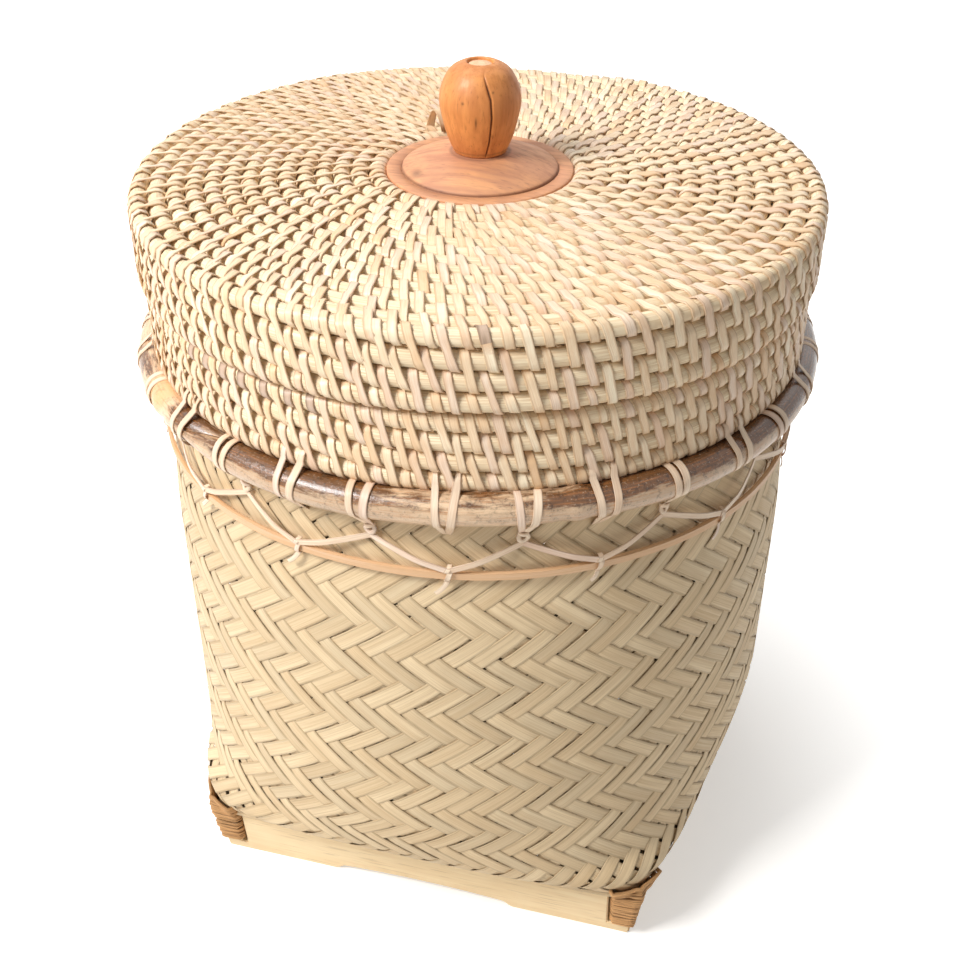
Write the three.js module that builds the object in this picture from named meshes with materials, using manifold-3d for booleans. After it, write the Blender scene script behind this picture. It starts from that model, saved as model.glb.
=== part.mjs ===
// Lidded rattan basket. A coiled lid with a turned knob lifts off a woven basket, which has a coiled
// neck, a bent pole lashed round its rim, and four boards under it that make its feet.
// Millimetres, +Z up, front board facing -Y, origin on the floor under the middle.

import * as THREE from 'three';
import { mergeVertices } from 'three/addons/utils/BufferGeometryUtils.js';
import Module from 'manifold-3d';

// Clearances
const SEAT_GAP = 0.3; // between pieces that rest on or in each other
const SHAVED_GAP = 1.2; // beside the shaved end of a coil
const LID_GAP = 1.7; // open joint between the lid's edge and the collar

// Base of four mitred boards
const BASE_SIDE = 217; // across the outer faces, at the floor
const BOARD_HEIGHT = 30.8;
const BOARD_THICKNESS = 9;
const BOARD_LEAN = 3.5; // how far the top edge stands out past the foot
const FOOT_LENGTH = 60;
const ARCH_STEP = 3.6; // height of the small step where the arch starts
const ARCH_HEIGHT = 5.4;
const SLOT_INSET = 13; // from the corner to the middle of a lashing slot
const SLOT_WIDTH = 3.4;

// Woven body, square at the boards and round at the rim
const WEAVE_HEIGHT = 248.1;
const WEAVE_THICKNESS = 2.6;
const WEAVE_OVERHANG = 0.5; // past the top edge of the boards
const BELLY_RADIUS = 148;
const NECK_DRAW = 6.9; // how far the neck is drawn in from the belly
const SHOULDER_SWELL = 0.72; // how much of the swell to the belly is reached low down
const SHOULDER_RISE = 0.116; // heights on the wall, as parts of its whole height
const CORNER_RISE = 0.067;
const BELLY_RISE = 0.311;
const BELLY_END_RISE = 0.634;
const FOOT_ROUNDNESS = 0.08; // 0 is a square outline, 1 a circle
const CORNER_ROUNDNESS = 0.42;
const SHOULDER_ROUNDNESS = 0.74;

// Coils: one core wound row beside row, with the last steps of each row shifting to the next
const CORE_RADIUS = 3.7;
const SIDE_HALF_HEIGHT = 4.1; // of a row in the lid's side and in the collar, with its wrapping
const TOP_PITCH = 7.8;
const SIDE_PITCH = 8.7;
const SHIFT_SHARE = 1 / 6; // part of each loop in which it shifts
const SHIFT_AZIMUTH = 134; // degrees, where each shift ends, at the back
const BUTT_GAP = 0.4; // between the ends of the two lengths of core in the lid

// Lid
const LID_OVERHANG = 2.3; // past the collar
const LID_TOP_ROWS = 14; // with the edge row
const LID_SIDE_ROWS = 3; // under the edge row
const LID_DOME = 2.2; // rise of the coil from the rim to the middle

// Knob, the disc under it and the peg through both
const KNOB_HEIGHT = 42;
const KNOB_RADIUS = 17.35;
const KNOB_FOOT_RADIUS = 11.7;
const PEG_RADIUS = 5.2;
const PEG_RECESS = 3;
const PEG_HEAD_RADIUS = 9;
const PEG_HEAD_HEIGHT = 3;
const DISC_FLANGE_WIDTH = 6.9;
const DISC_DOME_HEIGHT = 5.5;
const DISC_DOME_STEP = 1.6;
const DISC_LIP = 5; // how far the disc reaches under the first row
const DISC_LIP_HEIGHT = 2.6;

// Collar on the rim and the hoop in it that centres the lid and carries its top
const COLLAR_OVERHANG = 6.4; // past the weave at the neck
const COLLAR_ROWS = 4;
const SEAT_HOOP_THICKNESS = 3;

// Rim pole, the hoop inside the rim and the hoop below
const POLE_RADIUS = 6.9;
const POLE_DROP = 5.5; // from the top of the weave to the middle of the pole
const POLE_SIDES = 8;
const SCARF_CUT = 0.4;
const SCARF_ANGLE = 12; // degrees off the pole's own direction
const SCARF_AZIMUTH = -158;
const INNER_HOOP_THICKNESS = 4;
const INNER_HOOP_HEIGHT = 12;
const LOWER_HOOP_HEIGHT = 5;
const LOWER_HOOP_THICKNESS = 2.5;
const LOWER_HOOP_DROP = 39.2; // from the top of the weave, as for the knots and the plain ends

// Lashings over the pole, by turns knotted and plain, and the lace from knot to hoop
const LASHING_PAIRS = 15;
const FIRST_KNOT_AZIMUTH = -91.5;
const STRAP_WIDTH = 3.5;
const STRAP_THICKNESS = 0.8;
const STRAP_SPREAD = 6.5; // half the distance between the upper ends of a pair
const KNOT_DROP = 22.2;
const KNOT_SIZE = new THREE.Vector3(2.2, 3.4, 2.6); // half sizes: out, along, up
const PLAIN_END_DROP = 17.2;
const LACE_WIDTH = 3;
const LACE_THICKNESS = 0.6;

// Corner lashings
const CORNER_LOOPS = 6;
const CORNER_PITCH = 5.6;
const CORNER_CANE_WIDTH = 5;
const CORNER_CANE_THICKNESS = 2.4;
const CORNER_FIRST_LEVEL = 11.5;

// Fineness
const STEPS_PER_LOOP = 24;
const CORE_SIDES = 6;
const ROUND_STEPS = 48;
const TURNED_STEPS = 28;

// Levels and radii that follow
const weaveFloor = BOARD_HEIGHT + SEAT_GAP;
const weaveTop = weaveFloor + WEAVE_HEIGHT;
const collarBottomRow = weaveTop + SEAT_GAP + SIDE_HALF_HEIGHT;
const collarTopRow = collarBottomRow + (COLLAR_ROWS - 1) * SIDE_PITCH;
const lidBottomRow = collarTopRow + 2 * SIDE_HALF_HEIGHT + LID_GAP;
const lidEdgeRow = lidBottomRow + LID_SIDE_ROWS * SIDE_PITCH;
const neckRadius = BELLY_RADIUS - NECK_DRAW;
const collarCoreRadius = neckRadius + COLLAR_OVERHANG - CORE_RADIUS;
const lidCoreRadius = collarCoreRadius + LID_OVERHANG;
const firstRowRadius = lidCoreRadius - (LID_TOP_ROWS - 1) * TOP_PITCH;
const poleLevel = weaveTop - POLE_DROP;
const lowerHoopLevel = weaveTop - LOWER_HOOP_DROP;
const knotLevel = weaveTop - KNOT_DROP;
const plainEndLevel = weaveTop - PLAIN_END_DROP;
const slotFloor = CORNER_FIRST_LEVEL - CORNER_PITCH / 2 - CORNER_CANE_WIDTH / 2 - SEAT_GAP;
const coreFlat = CORE_RADIUS * Math.cos(Math.PI / CORE_SIDES); // out to a flat of the core's section
const loopFlat = Math.cos(Math.PI / STEPS_PER_LOOP); // how far a loop's straight steps cut inside it
const roundFlat = Math.cos(Math.PI / ROUND_STEPS);

const wasm = await Module();
wasm.setup();

function solid(geometry) {
  const bare = geometry.clone();
  bare.deleteAttribute('normal');
  bare.deleteAttribute('uv');
  const merged = mergeVertices(bare, 1e-4);
  const vertProperties = new Float32Array(merged.attributes.position.array);
  const triVerts = new Uint32Array(merged.index.array);
  return new wasm.Manifold(new wasm.Mesh({ numProp: 3, vertProperties, triVerts }));
}

function fromSolid(shape) {
  const mesh = shape.getMesh();
  const geometry = new THREE.BufferGeometry();
  geometry.setAttribute('position', new THREE.BufferAttribute(new Float32Array(mesh.vertProperties), 3));
  geometry.setIndex(new THREE.BufferAttribute(new Uint32Array(mesh.triVerts), 1));
  geometry.computeVertexNormals();
  return geometry;
}

// Closed skin over a row of rings, each with as many points, capped unless the row closes on itself.
function skin(rings, closed = false) {
  const sides = rings[0].length;
  const index = [];
  for (let i = 0; i < (closed ? rings.length : rings.length - 1); i++) {
    const here = i * sides;
    const next = ((i + 1) % rings.length) * sides;
    for (let j = 0; j < sides; j++) {
      const k = (j + 1) % sides;
      index.push(here + j, next + j, next + k, here + j, next + k, here + k);
    }
  }
  if (!closed) {
    const last = (rings.length - 1) * sides;
    for (let j = 1; j < sides - 1; j++) index.push(0, j, j + 1, last, last + j + 1, last + j);
  }
  const geometry = new THREE.BufferGeometry().setFromPoints(rings.flat());
  geometry.setIndex(index);
  geometry.computeVertexNormals();
  return geometry;
}

// Regular section with a corner on top, stretched to a half width and a half height.
function ovalSection(sides, halfWidth, halfHeight) {
  return Array.from({ length: sides }, (_, j) => {
    const angle = Math.PI / 2 + (j * 2 * Math.PI) / sides;
    return new THREE.Vector2(halfWidth * Math.cos(angle), halfHeight * Math.sin(angle));
  });
}

// Section of a flat strip standing on its edge.
function flatSection(thickness, height) {
  const corners = [[1, -1], [1, 1], [-1, 1], [-1, -1]];
  return corners.map(([x, y]) => new THREE.Vector2((x * thickness) / 2, (y * height) / 2));
}

// Rings of an upright section carried along a path; at each bend the section is mitred.
function uprightRings(path, sectionAt, closed = false) {
  const flat = (from, to) => new THREE.Vector2(to.x - from.x, to.y - from.y).normalize();
  return path.map((centre, i) => {
    const before = path[i - 1] ?? (closed ? path.at(-1) : null);
    const after = path[i + 1] ?? (closed ? path[0] : null);
    const incoming = before ? flat(before, centre) : flat(centre, after);
    const outgoing = after ? flat(centre, after) : incoming;
    const along = incoming.clone().add(outgoing).normalize();
    const mitre = 1 / along.dot(incoming);
    return sectionAt(i).map(
      ({ x, y }) => new THREE.Vector3(centre.x + along.y * x * mitre, centre.y - along.x * x * mitre, centre.z + y),
    );
  });
}

// Least distance between two loops of one tube, measured between its lengthwise edges.
function leastGap(rings, stepsPerLoop) {
  let least = Infinity;
  const edge = (i, j) => new THREE.Line3(rings[i][j], rings[i + 1][j]);
  for (let i = 0; i < rings.length - 1; i++) {
    const reach = rings[i][0].distanceTo(rings[i + 1][0]) + 4 * CORE_RADIUS;
    for (let k = i + Math.ceil(stepsPerLoop / 2); k < rings.length - 1; k++) {
      if (rings[i][0].distanceTo(rings[k][0]) > 2 * reach) continue;
      for (let a = 0; a < rings[i].length; a++) {
        for (let b = 0; b < rings[k].length; b++) {
          least = Math.min(least, Math.sqrt(edge(i, a).distanceSqToLine3(edge(k, b))));
        }
      }
    }
  }
  return least;
}

function turned(profile, steps) {
  const geometry = new THREE.LatheGeometry(profile, steps);
  return geometry.rotateX(Math.PI / 2);
}

// Hoop of rectangular section between two radii and two levels.
function hoop(inner, outer, bottom, top) {
  const corners = [[inner, bottom], [outer, bottom], [outer, top], [inner, top], [inner, bottom]];
  return turned(corners.map(([radius, level]) => new THREE.Vector2(radius, level)), ROUND_STEPS);
}

// Curve through [place, value] stations that never swings past them.
function through(stations, place) {
  const slope = (i) => (stations[i + 1][1] - stations[i][1]) / (stations[i + 1][0] - stations[i][0]);
  const tangent = (i) => {
    if (i === 0) return slope(0);
    if (i === stations.length - 1) return slope(i - 1);
    const product = slope(i - 1) * slope(i);
    return product <= 0 ? 0 : (2 * product) / (slope(i - 1) + slope(i));
  };
  let i = 0;
  while (i < stations.length - 2 && place > stations[i + 1][0]) i++;
  const run = stations[i + 1][0] - stations[i][0];
  const s = (place - stations[i][0]) / run;
  const rise = stations[i + 1][1] - stations[i][1];
  const blend = s * s * (3 - 2 * s);
  return stations[i][1] + rise * blend + run * s * (1 - s) * (tangent(i) * (1 - s) - tangent(i + 1) * s);
}

// Outline of the woven body at a level
const boardHalf = (level) => BASE_SIDE / 2 + (BOARD_LEAN * level) / BOARD_HEIGHT;
const weaveFoot = boardHalf(BOARD_HEIGHT) + WEAVE_OVERHANG;
const weaveRise = (level) => (level - weaveFloor) / WEAVE_HEIGHT;

function weaveHalf(level) {
  const shoulder = weaveFoot + (BELLY_RADIUS - weaveFoot) * SHOULDER_SWELL;
  const stations = [
    [0, weaveFoot], [SHOULDER_RISE, shoulder], [BELLY_RISE, BELLY_RADIUS],
    [BELLY_END_RISE, BELLY_RADIUS], [1, neckRadius],
  ];
  return through(stations, weaveRise(level));
}

function weaveRoundness(level) {
  const stations = [
    [0, FOOT_ROUNDNESS], [CORNER_RISE, CORNER_ROUNDNESS], [SHOULDER_RISE, SHOULDER_ROUNDNESS],
    [BELLY_RISE, 1], [1, 1],
  ];
  return through(stations, weaveRise(level));
}

// Distance from the middle to a superellipse outline, in the direction of an angle.
function outlineRadius(half, roundness, angle) {
  const power = 2 / roundness;
  return half / (Math.abs(Math.cos(angle)) ** power + Math.abs(Math.sin(angle)) ** power) ** (1 / power);
}

// Base boards

// Front board: its face is drawn, given its thickness, leaned outwards and mitred at both ends.
function boardGeometry() {
  const overlong = boardHalf(BOARD_HEIGHT) + BOARD_THICKNESS;
  const archStart = BASE_SIDE / 2 - FOOT_LENGTH;
  const face = new THREE.Shape();
  face.moveTo(-overlong, 0);
  face.lineTo(-archStart, 0);
  face.quadraticCurveTo(-archStart + ARCH_STEP / 2, 0, -archStart + ARCH_STEP, ARCH_STEP / 2);
  face.quadraticCurveTo(-archStart + ARCH_STEP * 1.5, ARCH_STEP, -archStart + ARCH_STEP * 2, ARCH_STEP);
  face.quadraticCurveTo(0, 2 * ARCH_HEIGHT - ARCH_STEP, archStart - ARCH_STEP * 2, ARCH_STEP);
  face.quadraticCurveTo(archStart - ARCH_STEP * 1.5, ARCH_STEP, archStart - ARCH_STEP, ARCH_STEP / 2);
  face.quadraticCurveTo(archStart - ARCH_STEP / 2, 0, archStart, 0);
  face.lineTo(overlong, 0);
  face.lineTo(overlong, BOARD_HEIGHT);
  for (const side of [1, -1]) {
    const slot = side * (boardHalf(BOARD_HEIGHT) - SLOT_INSET);
    face.lineTo(slot + SLOT_WIDTH / 2, BOARD_HEIGHT);
    face.lineTo(slot + SLOT_WIDTH / 2, slotFloor);
    face.lineTo(slot - SLOT_WIDTH / 2, slotFloor);
    face.lineTo(slot - SLOT_WIDTH / 2, BOARD_HEIGHT);
  }
  face.lineTo(-overlong, BOARD_HEIGHT);
  const plank = new THREE.ExtrudeGeometry(face, { depth: BOARD_THICKNESS, bevelEnabled: false, curveSegments: 5 });
  plank.rotateX(Math.PI / 2).translate(0, BOARD_THICKNESS - BASE_SIDE / 2, 0);
  plank.applyMatrix4(new THREE.Matrix4().makeShear(0, 0, 0, 0, 0, -BOARD_LEAN / BOARD_HEIGHT));

  const wedge = new THREE.Shape();
  const mitreSetBack = (SEAT_GAP / 2) * Math.SQRT2;
  wedge.moveTo(0, -mitreSetBack);
  wedge.lineTo(-BASE_SIDE, -BASE_SIDE - mitreSetBack);
  wedge.lineTo(BASE_SIDE, -BASE_SIDE - mitreSetBack);
  const mitre = new THREE.ExtrudeGeometry(wedge, { depth: 3 * BOARD_HEIGHT, bevelEnabled: false });
  mitre.translate(0, 0, -BOARD_HEIGHT);
  return fromSolid(solid(plank).intersect(solid(mitre)));
}

// Woven body

// How far in the front face lies from the boards' top edge, at a distance from their front right corner.
// Where the weave's corner is rounder than the boards', their top edge counts.
function faceDepth(fromCorner, level) {
  if (level < weaveFloor) return boardHalf(BOARD_HEIGHT) - boardHalf(level);
  const across = boardHalf(BOARD_HEIGHT) - fromCorner;
  const half = weaveHalf(level);
  const power = 2 / weaveRoundness(level);
  return Math.min(0, boardHalf(BOARD_HEIGHT) - half * (1 - (across / half) ** power) ** (1 / power));
}

// Square plate with its four corners left out, where the lashings and the wall's turned-in corners are.
function crossedPlate(half, cornerInner, thickness) {
  const outline = new THREE.Shape();
  const corners = [[half, -cornerInner], [half, cornerInner], [cornerInner, cornerInner]];
  for (let quarter = 0; quarter < 4; quarter++) {
    for (const [x, y] of corners) {
      const turn = (quarter * Math.PI) / 2;
      const place = [x * Math.cos(turn) - y * Math.sin(turn), x * Math.sin(turn) + y * Math.cos(turn)];
      if (outline.curves.length === 0 && quarter === 0 && y < 0) outline.moveTo(...place);
      else outline.lineTo(...place);
    }
  }
  return new THREE.ExtrudeGeometry(outline, { depth: thickness, bevelEnabled: false });
}

const floorHalf = weaveFoot - WEAVE_THICKNESS; // out to the wall
const cornerSlot = boardHalf(BOARD_HEIGHT) - SLOT_INSET; // middle of a lashing slot

// Woven floor, which lies on the boards.
function wovenFloorGeometry() {
  const cornerInner = cornerSlot - SLOT_WIDTH / 2;
  return crossedPlate(floorHalf - SEAT_GAP, cornerInner, WEAVE_THICKNESS).translate(0, 0, weaveFloor);
}

// Wall whose outline goes from square to round, with slots at the corners for the lashings.
function wovenBodyGeometry() {
  const outerLevels = [0, 0.018, 0.042, 0.07, 0.1, 0.14, 0.2, 0.3, 0.46, 0.64, 0.82, 1];
  const ringAt = (level, inset) =>
    Array.from({ length: ROUND_STEPS }, (_, j) => {
      const angle = (-j * 2 * Math.PI) / ROUND_STEPS;
      const radius = outlineRadius(weaveHalf(level) - inset, weaveRoundness(level), angle);
      return new THREE.Vector3(radius * Math.cos(angle), radius * Math.sin(angle), level);
    });
  const outer = outerLevels.map((rise) => ringAt(weaveFloor + rise * WEAVE_HEIGHT, 0));
  const innerLevels = outerLevels.map((rise) => weaveFloor + rise * WEAVE_HEIGHT);
  innerLevels[0] = weaveFloor + WEAVE_THICKNESS;
  const inner = innerLevels.reverse().map((level) => ringAt(level, WEAVE_THICKNESS));
  const floor = crossedPlate(floorHalf, cornerSlot, WEAVE_THICKNESS + 2 * SEAT_GAP);
  const shell = solid(skin([...outer, ...inner])).subtract(solid(floor.translate(0, 0, weaveFloor - SEAT_GAP)));

  const slotTop = CORNER_FIRST_LEVEL + (CORNER_LOOPS - 0.5) * CORNER_PITCH + CORNER_CANE_WIDTH / 2 + SEAT_GAP;
  const corner = boardHalf(BOARD_HEIGHT);
  const slotLength = 2 * SLOT_INSET + SLOT_WIDTH;
  const slotHeight = 2 * (slotTop - weaveFloor);
  const near = corner - SLOT_INSET;
  const mid = near - SLOT_WIDTH / 2 + slotLength / 2;
  const slots = [[1, 1], [1, -1], [-1, 1], [-1, -1]].flatMap(([sideX, sideY]) => [
    new THREE.BoxGeometry(slotLength, SLOT_WIDTH, slotHeight).translate(sideX * mid, sideY * near, weaveFloor),
    new THREE.BoxGeometry(SLOT_WIDTH, slotLength, slotHeight).translate(sideX * near, sideY * mid, weaveFloor),
  ]);
  return fromSolid(slots.reduce((body, slot) => body.subtract(solid(slot)), shell));
}

// Corner lashings

// One flat cane wound round the front right corner, out over both faces and in through their slots.
// It keeps level outside and climbs to its next loop inside.
function cornerLashingRings() {
  const proud = CORNER_CANE_THICKNESS / 2 + SEAT_GAP;
  const mouth = CORNER_CANE_THICKNESS * 0.4;
  const bend = CORNER_CANE_THICKNESS / 2;
  const halfway = SLOT_INSET / 2;
  const inside = SLOT_INSET * 0.3; // how far in it leaves a loop's level
  const deep = BOARD_THICKNESS + mouth; // how far in the two ends reach
  const endClimb = ((CORNER_PITCH / 2) * (deep - inside)) / (SLOT_INSET - CORNER_CANE_THICKNESS / 2 - inside);
  const path = [];
  const corner = boardHalf(BOARD_HEIGHT);
  const put = (fromRight, fromFront, level) => {
    path.push(new THREE.Vector3(corner - fromRight, fromFront - corner, level));
  };
  for (let loop = 0; loop < CORNER_LOOPS; loop++) {
    const level = CORNER_FIRST_LEVEL + loop * CORNER_PITCH;
    const face = (fromCorner) => faceDepth(fromCorner, level + CORNER_CANE_WIDTH / 2) - proud;
    const inset = Math.max(0, face(0) + proud);
    const round = [SLOT_INSET - mouth, halfway, inset + bend];
    if (loop === 0) put(SLOT_INSET, deep, level - endClimb);
    put(SLOT_INSET, inside, level);
    put(SLOT_INSET, face(SLOT_INSET) + mouth, level);
    for (const place of round) put(place, face(place), level);
    put(inset - proud * 0.9, inset - proud * 0.9, level);
    for (const place of round.reverse()) put(face(place), place, level);
    put(face(SLOT_INSET) + mouth, SLOT_INSET, level);
    put(inside, SLOT_INSET, level);
    if (loop === CORNER_LOOPS - 1) put(deep, SLOT_INSET, level + endClimb);
    else put(SLOT_INSET, SLOT_INSET, level + CORNER_PITCH / 2);
  }
  const section = flatSection(CORNER_CANE_THICKNESS, CORNER_CANE_WIDTH);
  return uprightRings(path, () => section);
}

// Coils

// How far round a quarter turn the shift to the next row has gone; a turn counts whole loops.
function shiftAngle(turn) {
  const share = (turn - Math.floor(turn) - (1 - SHIFT_SHARE)) / SHIFT_SHARE;
  return (Math.max(0, share) * Math.PI) / 2;
}

// Rows passed at a turn: across the lid's top a row leaves its place slowly, down a side at once,
// so that where the top rolls over the edge the two keep a quarter circle apart.
const rowsOut = (turn) => Math.floor(turn) + 1 - Math.cos(shiftAngle(turn));
const rowsDown = (turn) => Math.floor(turn) + Math.sin(shiftAngle(turn));

// Size of a shaved end that lies in the room left beside its neighbour.
const shaved = (room, full) => Math.min(full, (room - SHAVED_GAP) / 2);

function lidTopLevel(radius) {
  return lidEdgeRow + LID_DOME * (1 - (radius / lidCoreRadius) ** 2);
}

const edgeTurn = LID_TOP_ROWS - 1;
const lidLastTurn = edgeTurn + LID_SIDE_ROWS;

// Radius, level and half sizes of the lid's core at a turn; turns before 0 are its shaved start.
function lidCore(turn) {
  if (turn < 0) {
    const half = shaved(TOP_PITCH * (1 - Math.cos(shiftAngle(turn))), CORE_RADIUS);
    const radius = firstRowRadius - coreFlat * (1 - half / CORE_RADIUS);
    return { radius, level: lidTopLevel(firstRowRadius), halfWidth: half, halfHeight: half };
  }
  if (turn < edgeTurn) {
    const radius = firstRowRadius + TOP_PITCH * rowsOut(turn);
    return { radius, level: lidTopLevel(radius), halfWidth: CORE_RADIUS, halfHeight: CORE_RADIUS };
  }
  const halfHeight = turn < edgeTurn + 1 ? CORE_RADIUS : SIDE_HALF_HEIGHT;
  return sideCore(turn - edgeTurn, lidCoreRadius, lidEdgeRow, LID_SIDE_ROWS, halfHeight);
}

// The same in a side of upright rows, whose last turns are shaved to lie under the row before.
function sideCore(turn, radius, topRow, rowsBelow, fullHeight) {
  const shift = Math.sin(shiftAngle(turn));
  if (turn < 0) {
    const half = shaved(SIDE_PITCH * shift, fullHeight);
    return { radius, level: topRow + fullHeight - half, halfWidth: Math.min(half, CORE_RADIUS), halfHeight: half };
  }
  if (turn > rowsBelow + 1 - SHIFT_SHARE) {
    const half = shaved(SIDE_PITCH * (1 - shift), fullHeight);
    const level = topRow - rowsBelow * SIDE_PITCH - fullHeight + half;
    return { radius, level, halfWidth: Math.min(half, CORE_RADIUS), halfHeight: half };
  }
  return { radius, level: topRow - SIDE_PITCH * rowsDown(turn), halfWidth: CORE_RADIUS, halfHeight: fullHeight };
}

// Rings of a core from one turn to another, with a straight run of one core thickness at each end.
function coilRings(coreAt, fromTurn, toTurn) {
  const turns = [fromTurn];
  const nearest = 0.3;
  for (let k = Math.ceil(fromTurn * STEPS_PER_LOOP + nearest); k < toTurn * STEPS_PER_LOOP - nearest; k++) {
    turns.push(k / STEPS_PER_LOOP);
  }
  turns.push(toTurn);
  const place = (turn) => {
    const azimuth = THREE.MathUtils.degToRad(SHIFT_AZIMUTH) + turn * 2 * Math.PI;
    const { radius, level } = coreAt(turn);
    return new THREE.Vector3(radius * Math.cos(azimuth), radius * Math.sin(azimuth), level);
  };
  const path = turns.map(place);
  const sizes = turns.map(coreAt);
  const aim = 0.01;
  const run = (turn, way) => {
    const end = place(turn);
    const ahead = place(turn + way * aim).setZ(end.z);
    return end.clone().add(ahead.sub(end).setLength(2 * CORE_RADIUS));
  };
  path.unshift(run(fromTurn, -1));
  path.push(run(toTurn, 1));
  const sectionAt = (i) => {
    const { halfWidth, halfHeight } = sizes[THREE.MathUtils.clamp(i - 1, 0, sizes.length - 1)];
    return ovalSection(CORE_SIDES, halfWidth, halfHeight);
  };
  return uprightRings(path, sectionAt);
}

// Turned pieces

const knobBore = PEG_RADIUS + SEAT_GAP;
const discTop = lidTopLevel(firstRowRadius) + CORE_RADIUS - SEAT_GAP;
const discFlange = firstRowRadius * loopFlat - coreFlat - SEAT_GAP;
const discDomeRadius = discFlange - DISC_FLANGE_WIDTH;
const discLipTop = lidTopLevel(firstRowRadius) - CORE_RADIUS - SEAT_GAP;
const discBottom = discLipTop - DISC_LIP_HEIGHT;
const knobFoot = discTop + DISC_DOME_HEIGHT + SEAT_GAP;

// Egg-shaped knob on a narrow foot, bored for the peg.
function knobGeometry() {
  const side = new THREE.SplineCurve([
    new THREE.Vector2(KNOB_FOOT_RADIUS, 0.5),
    new THREE.Vector2(KNOB_FOOT_RADIUS + 0.16 * KNOB_RADIUS, KNOB_HEIGHT * 0.2),
    new THREE.Vector2(KNOB_RADIUS * 0.97, KNOB_HEIGHT * 0.45),
    new THREE.Vector2(KNOB_RADIUS, KNOB_HEIGHT * 0.6),
    new THREE.Vector2(KNOB_RADIUS * 0.93, KNOB_HEIGHT * 0.76),
    new THREE.Vector2(KNOB_RADIUS * 0.74, KNOB_HEIGHT * 0.91),
    new THREE.Vector2(KNOB_RADIUS * 0.5, KNOB_HEIGHT * 0.98),
    new THREE.Vector2(knobBore + 0.8, KNOB_HEIGHT),
  ]);
  const profile = [
    new THREE.Vector2(knobBore, 0),
    new THREE.Vector2(KNOB_FOOT_RADIUS - 0.6, 0),
    ...side.getPoints(10),
    new THREE.Vector2(knobBore, KNOB_HEIGHT - 0.6),
    new THREE.Vector2(knobBore, 0),
  ];
  return turned(profile, TURNED_STEPS).translate(0, 0, knobFoot);
}

// Peg pushed up through disc and knob, with its head under the disc.
function pegGeometry() {
  const head = discBottom - SEAT_GAP;
  const profile = [
    [0, head - PEG_HEAD_HEIGHT], [PEG_HEAD_RADIUS, head - PEG_HEAD_HEIGHT], [PEG_HEAD_RADIUS, head],
    [PEG_RADIUS, head], [PEG_RADIUS, knobFoot + KNOB_HEIGHT - PEG_RECESS],
    [0, knobFoot + KNOB_HEIGHT - PEG_RECESS],
  ];
  return turned(profile.map(([radius, level]) => new THREE.Vector2(radius, level)), TURNED_STEPS);
}

// Disc: a low dome inside a flat flange, and a lip below that the first row sits on.
function discGeometry() {
  const dome = Array.from({ length: 7 }, (_, i) => {
    const share = 1 - i / 6;
    const radius = discDomeRadius + (knobBore - discDomeRadius) * (1 - share);
    const rise = (DISC_DOME_HEIGHT - DISC_DOME_STEP) * Math.sin((1 - share) * Math.PI / 2);
    return [radius, discTop + DISC_DOME_STEP + rise];
  });
  const profile = [
    [knobBore, discBottom], [discFlange + DISC_LIP, discBottom], [discFlange + DISC_LIP, discLipTop],
    [discFlange, discLipTop], [discFlange, discTop], [discDomeRadius, discTop], ...dome,
    [knobBore, discBottom],
  ];
  return turned(profile.map(([radius, level]) => new THREE.Vector2(radius, level)), TURNED_STEPS);
}

// Rim

const wallOuter = (level) => weaveHalf(level);
const poleRingRadius = wallOuter(poleLevel) + SEAT_GAP + POLE_RADIUS;

// Pole bent into a ring, its two ends cut to a long scarf joint.
function poleGeometry() {
  const section = Array.from({ length: POLE_SIDES + 1 }, (_, j) => {
    const angle = ((j % POLE_SIDES) * 2 * Math.PI) / POLE_SIDES;
    return new THREE.Vector2(poleRingRadius + POLE_RADIUS * Math.cos(angle), poleLevel + POLE_RADIUS * Math.sin(angle));
  });
  const ring = solid(turned(section, ROUND_STEPS));
  const scarf = new THREE.BoxGeometry(SCARF_CUT, 12 * POLE_RADIUS, 4 * POLE_RADIUS);
  scarf.rotateZ(THREE.MathUtils.degToRad(SCARF_ANGLE)).translate(poleRingRadius, 0, poleLevel);
  scarf.rotateZ(THREE.MathUtils.degToRad(SCARF_AZIMUTH));
  return fromSolid(ring.subtract(solid(scarf)));
}

const innerHoopWall = Math.min(wallOuter(weaveTop), wallOuter(weaveTop - INNER_HOOP_HEIGHT));
const innerHoopOuter = (innerHoopWall - WEAVE_THICKNESS) * roundFlat - SEAT_GAP;
const seatHoopOuter = collarCoreRadius * loopFlat - coreFlat - SEAT_GAP;
const hoopHalf = LOWER_HOOP_HEIGHT / 2;
const lowerHoopWall = Math.max(wallOuter(lowerHoopLevel - hoopHalf), wallOuter(lowerHoopLevel + hoopHalf));
const lowerHoopInner = lowerHoopWall + SEAT_GAP;
const lowerHoopOuter = lowerHoopInner + LOWER_HOOP_THICKNESS;

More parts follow.
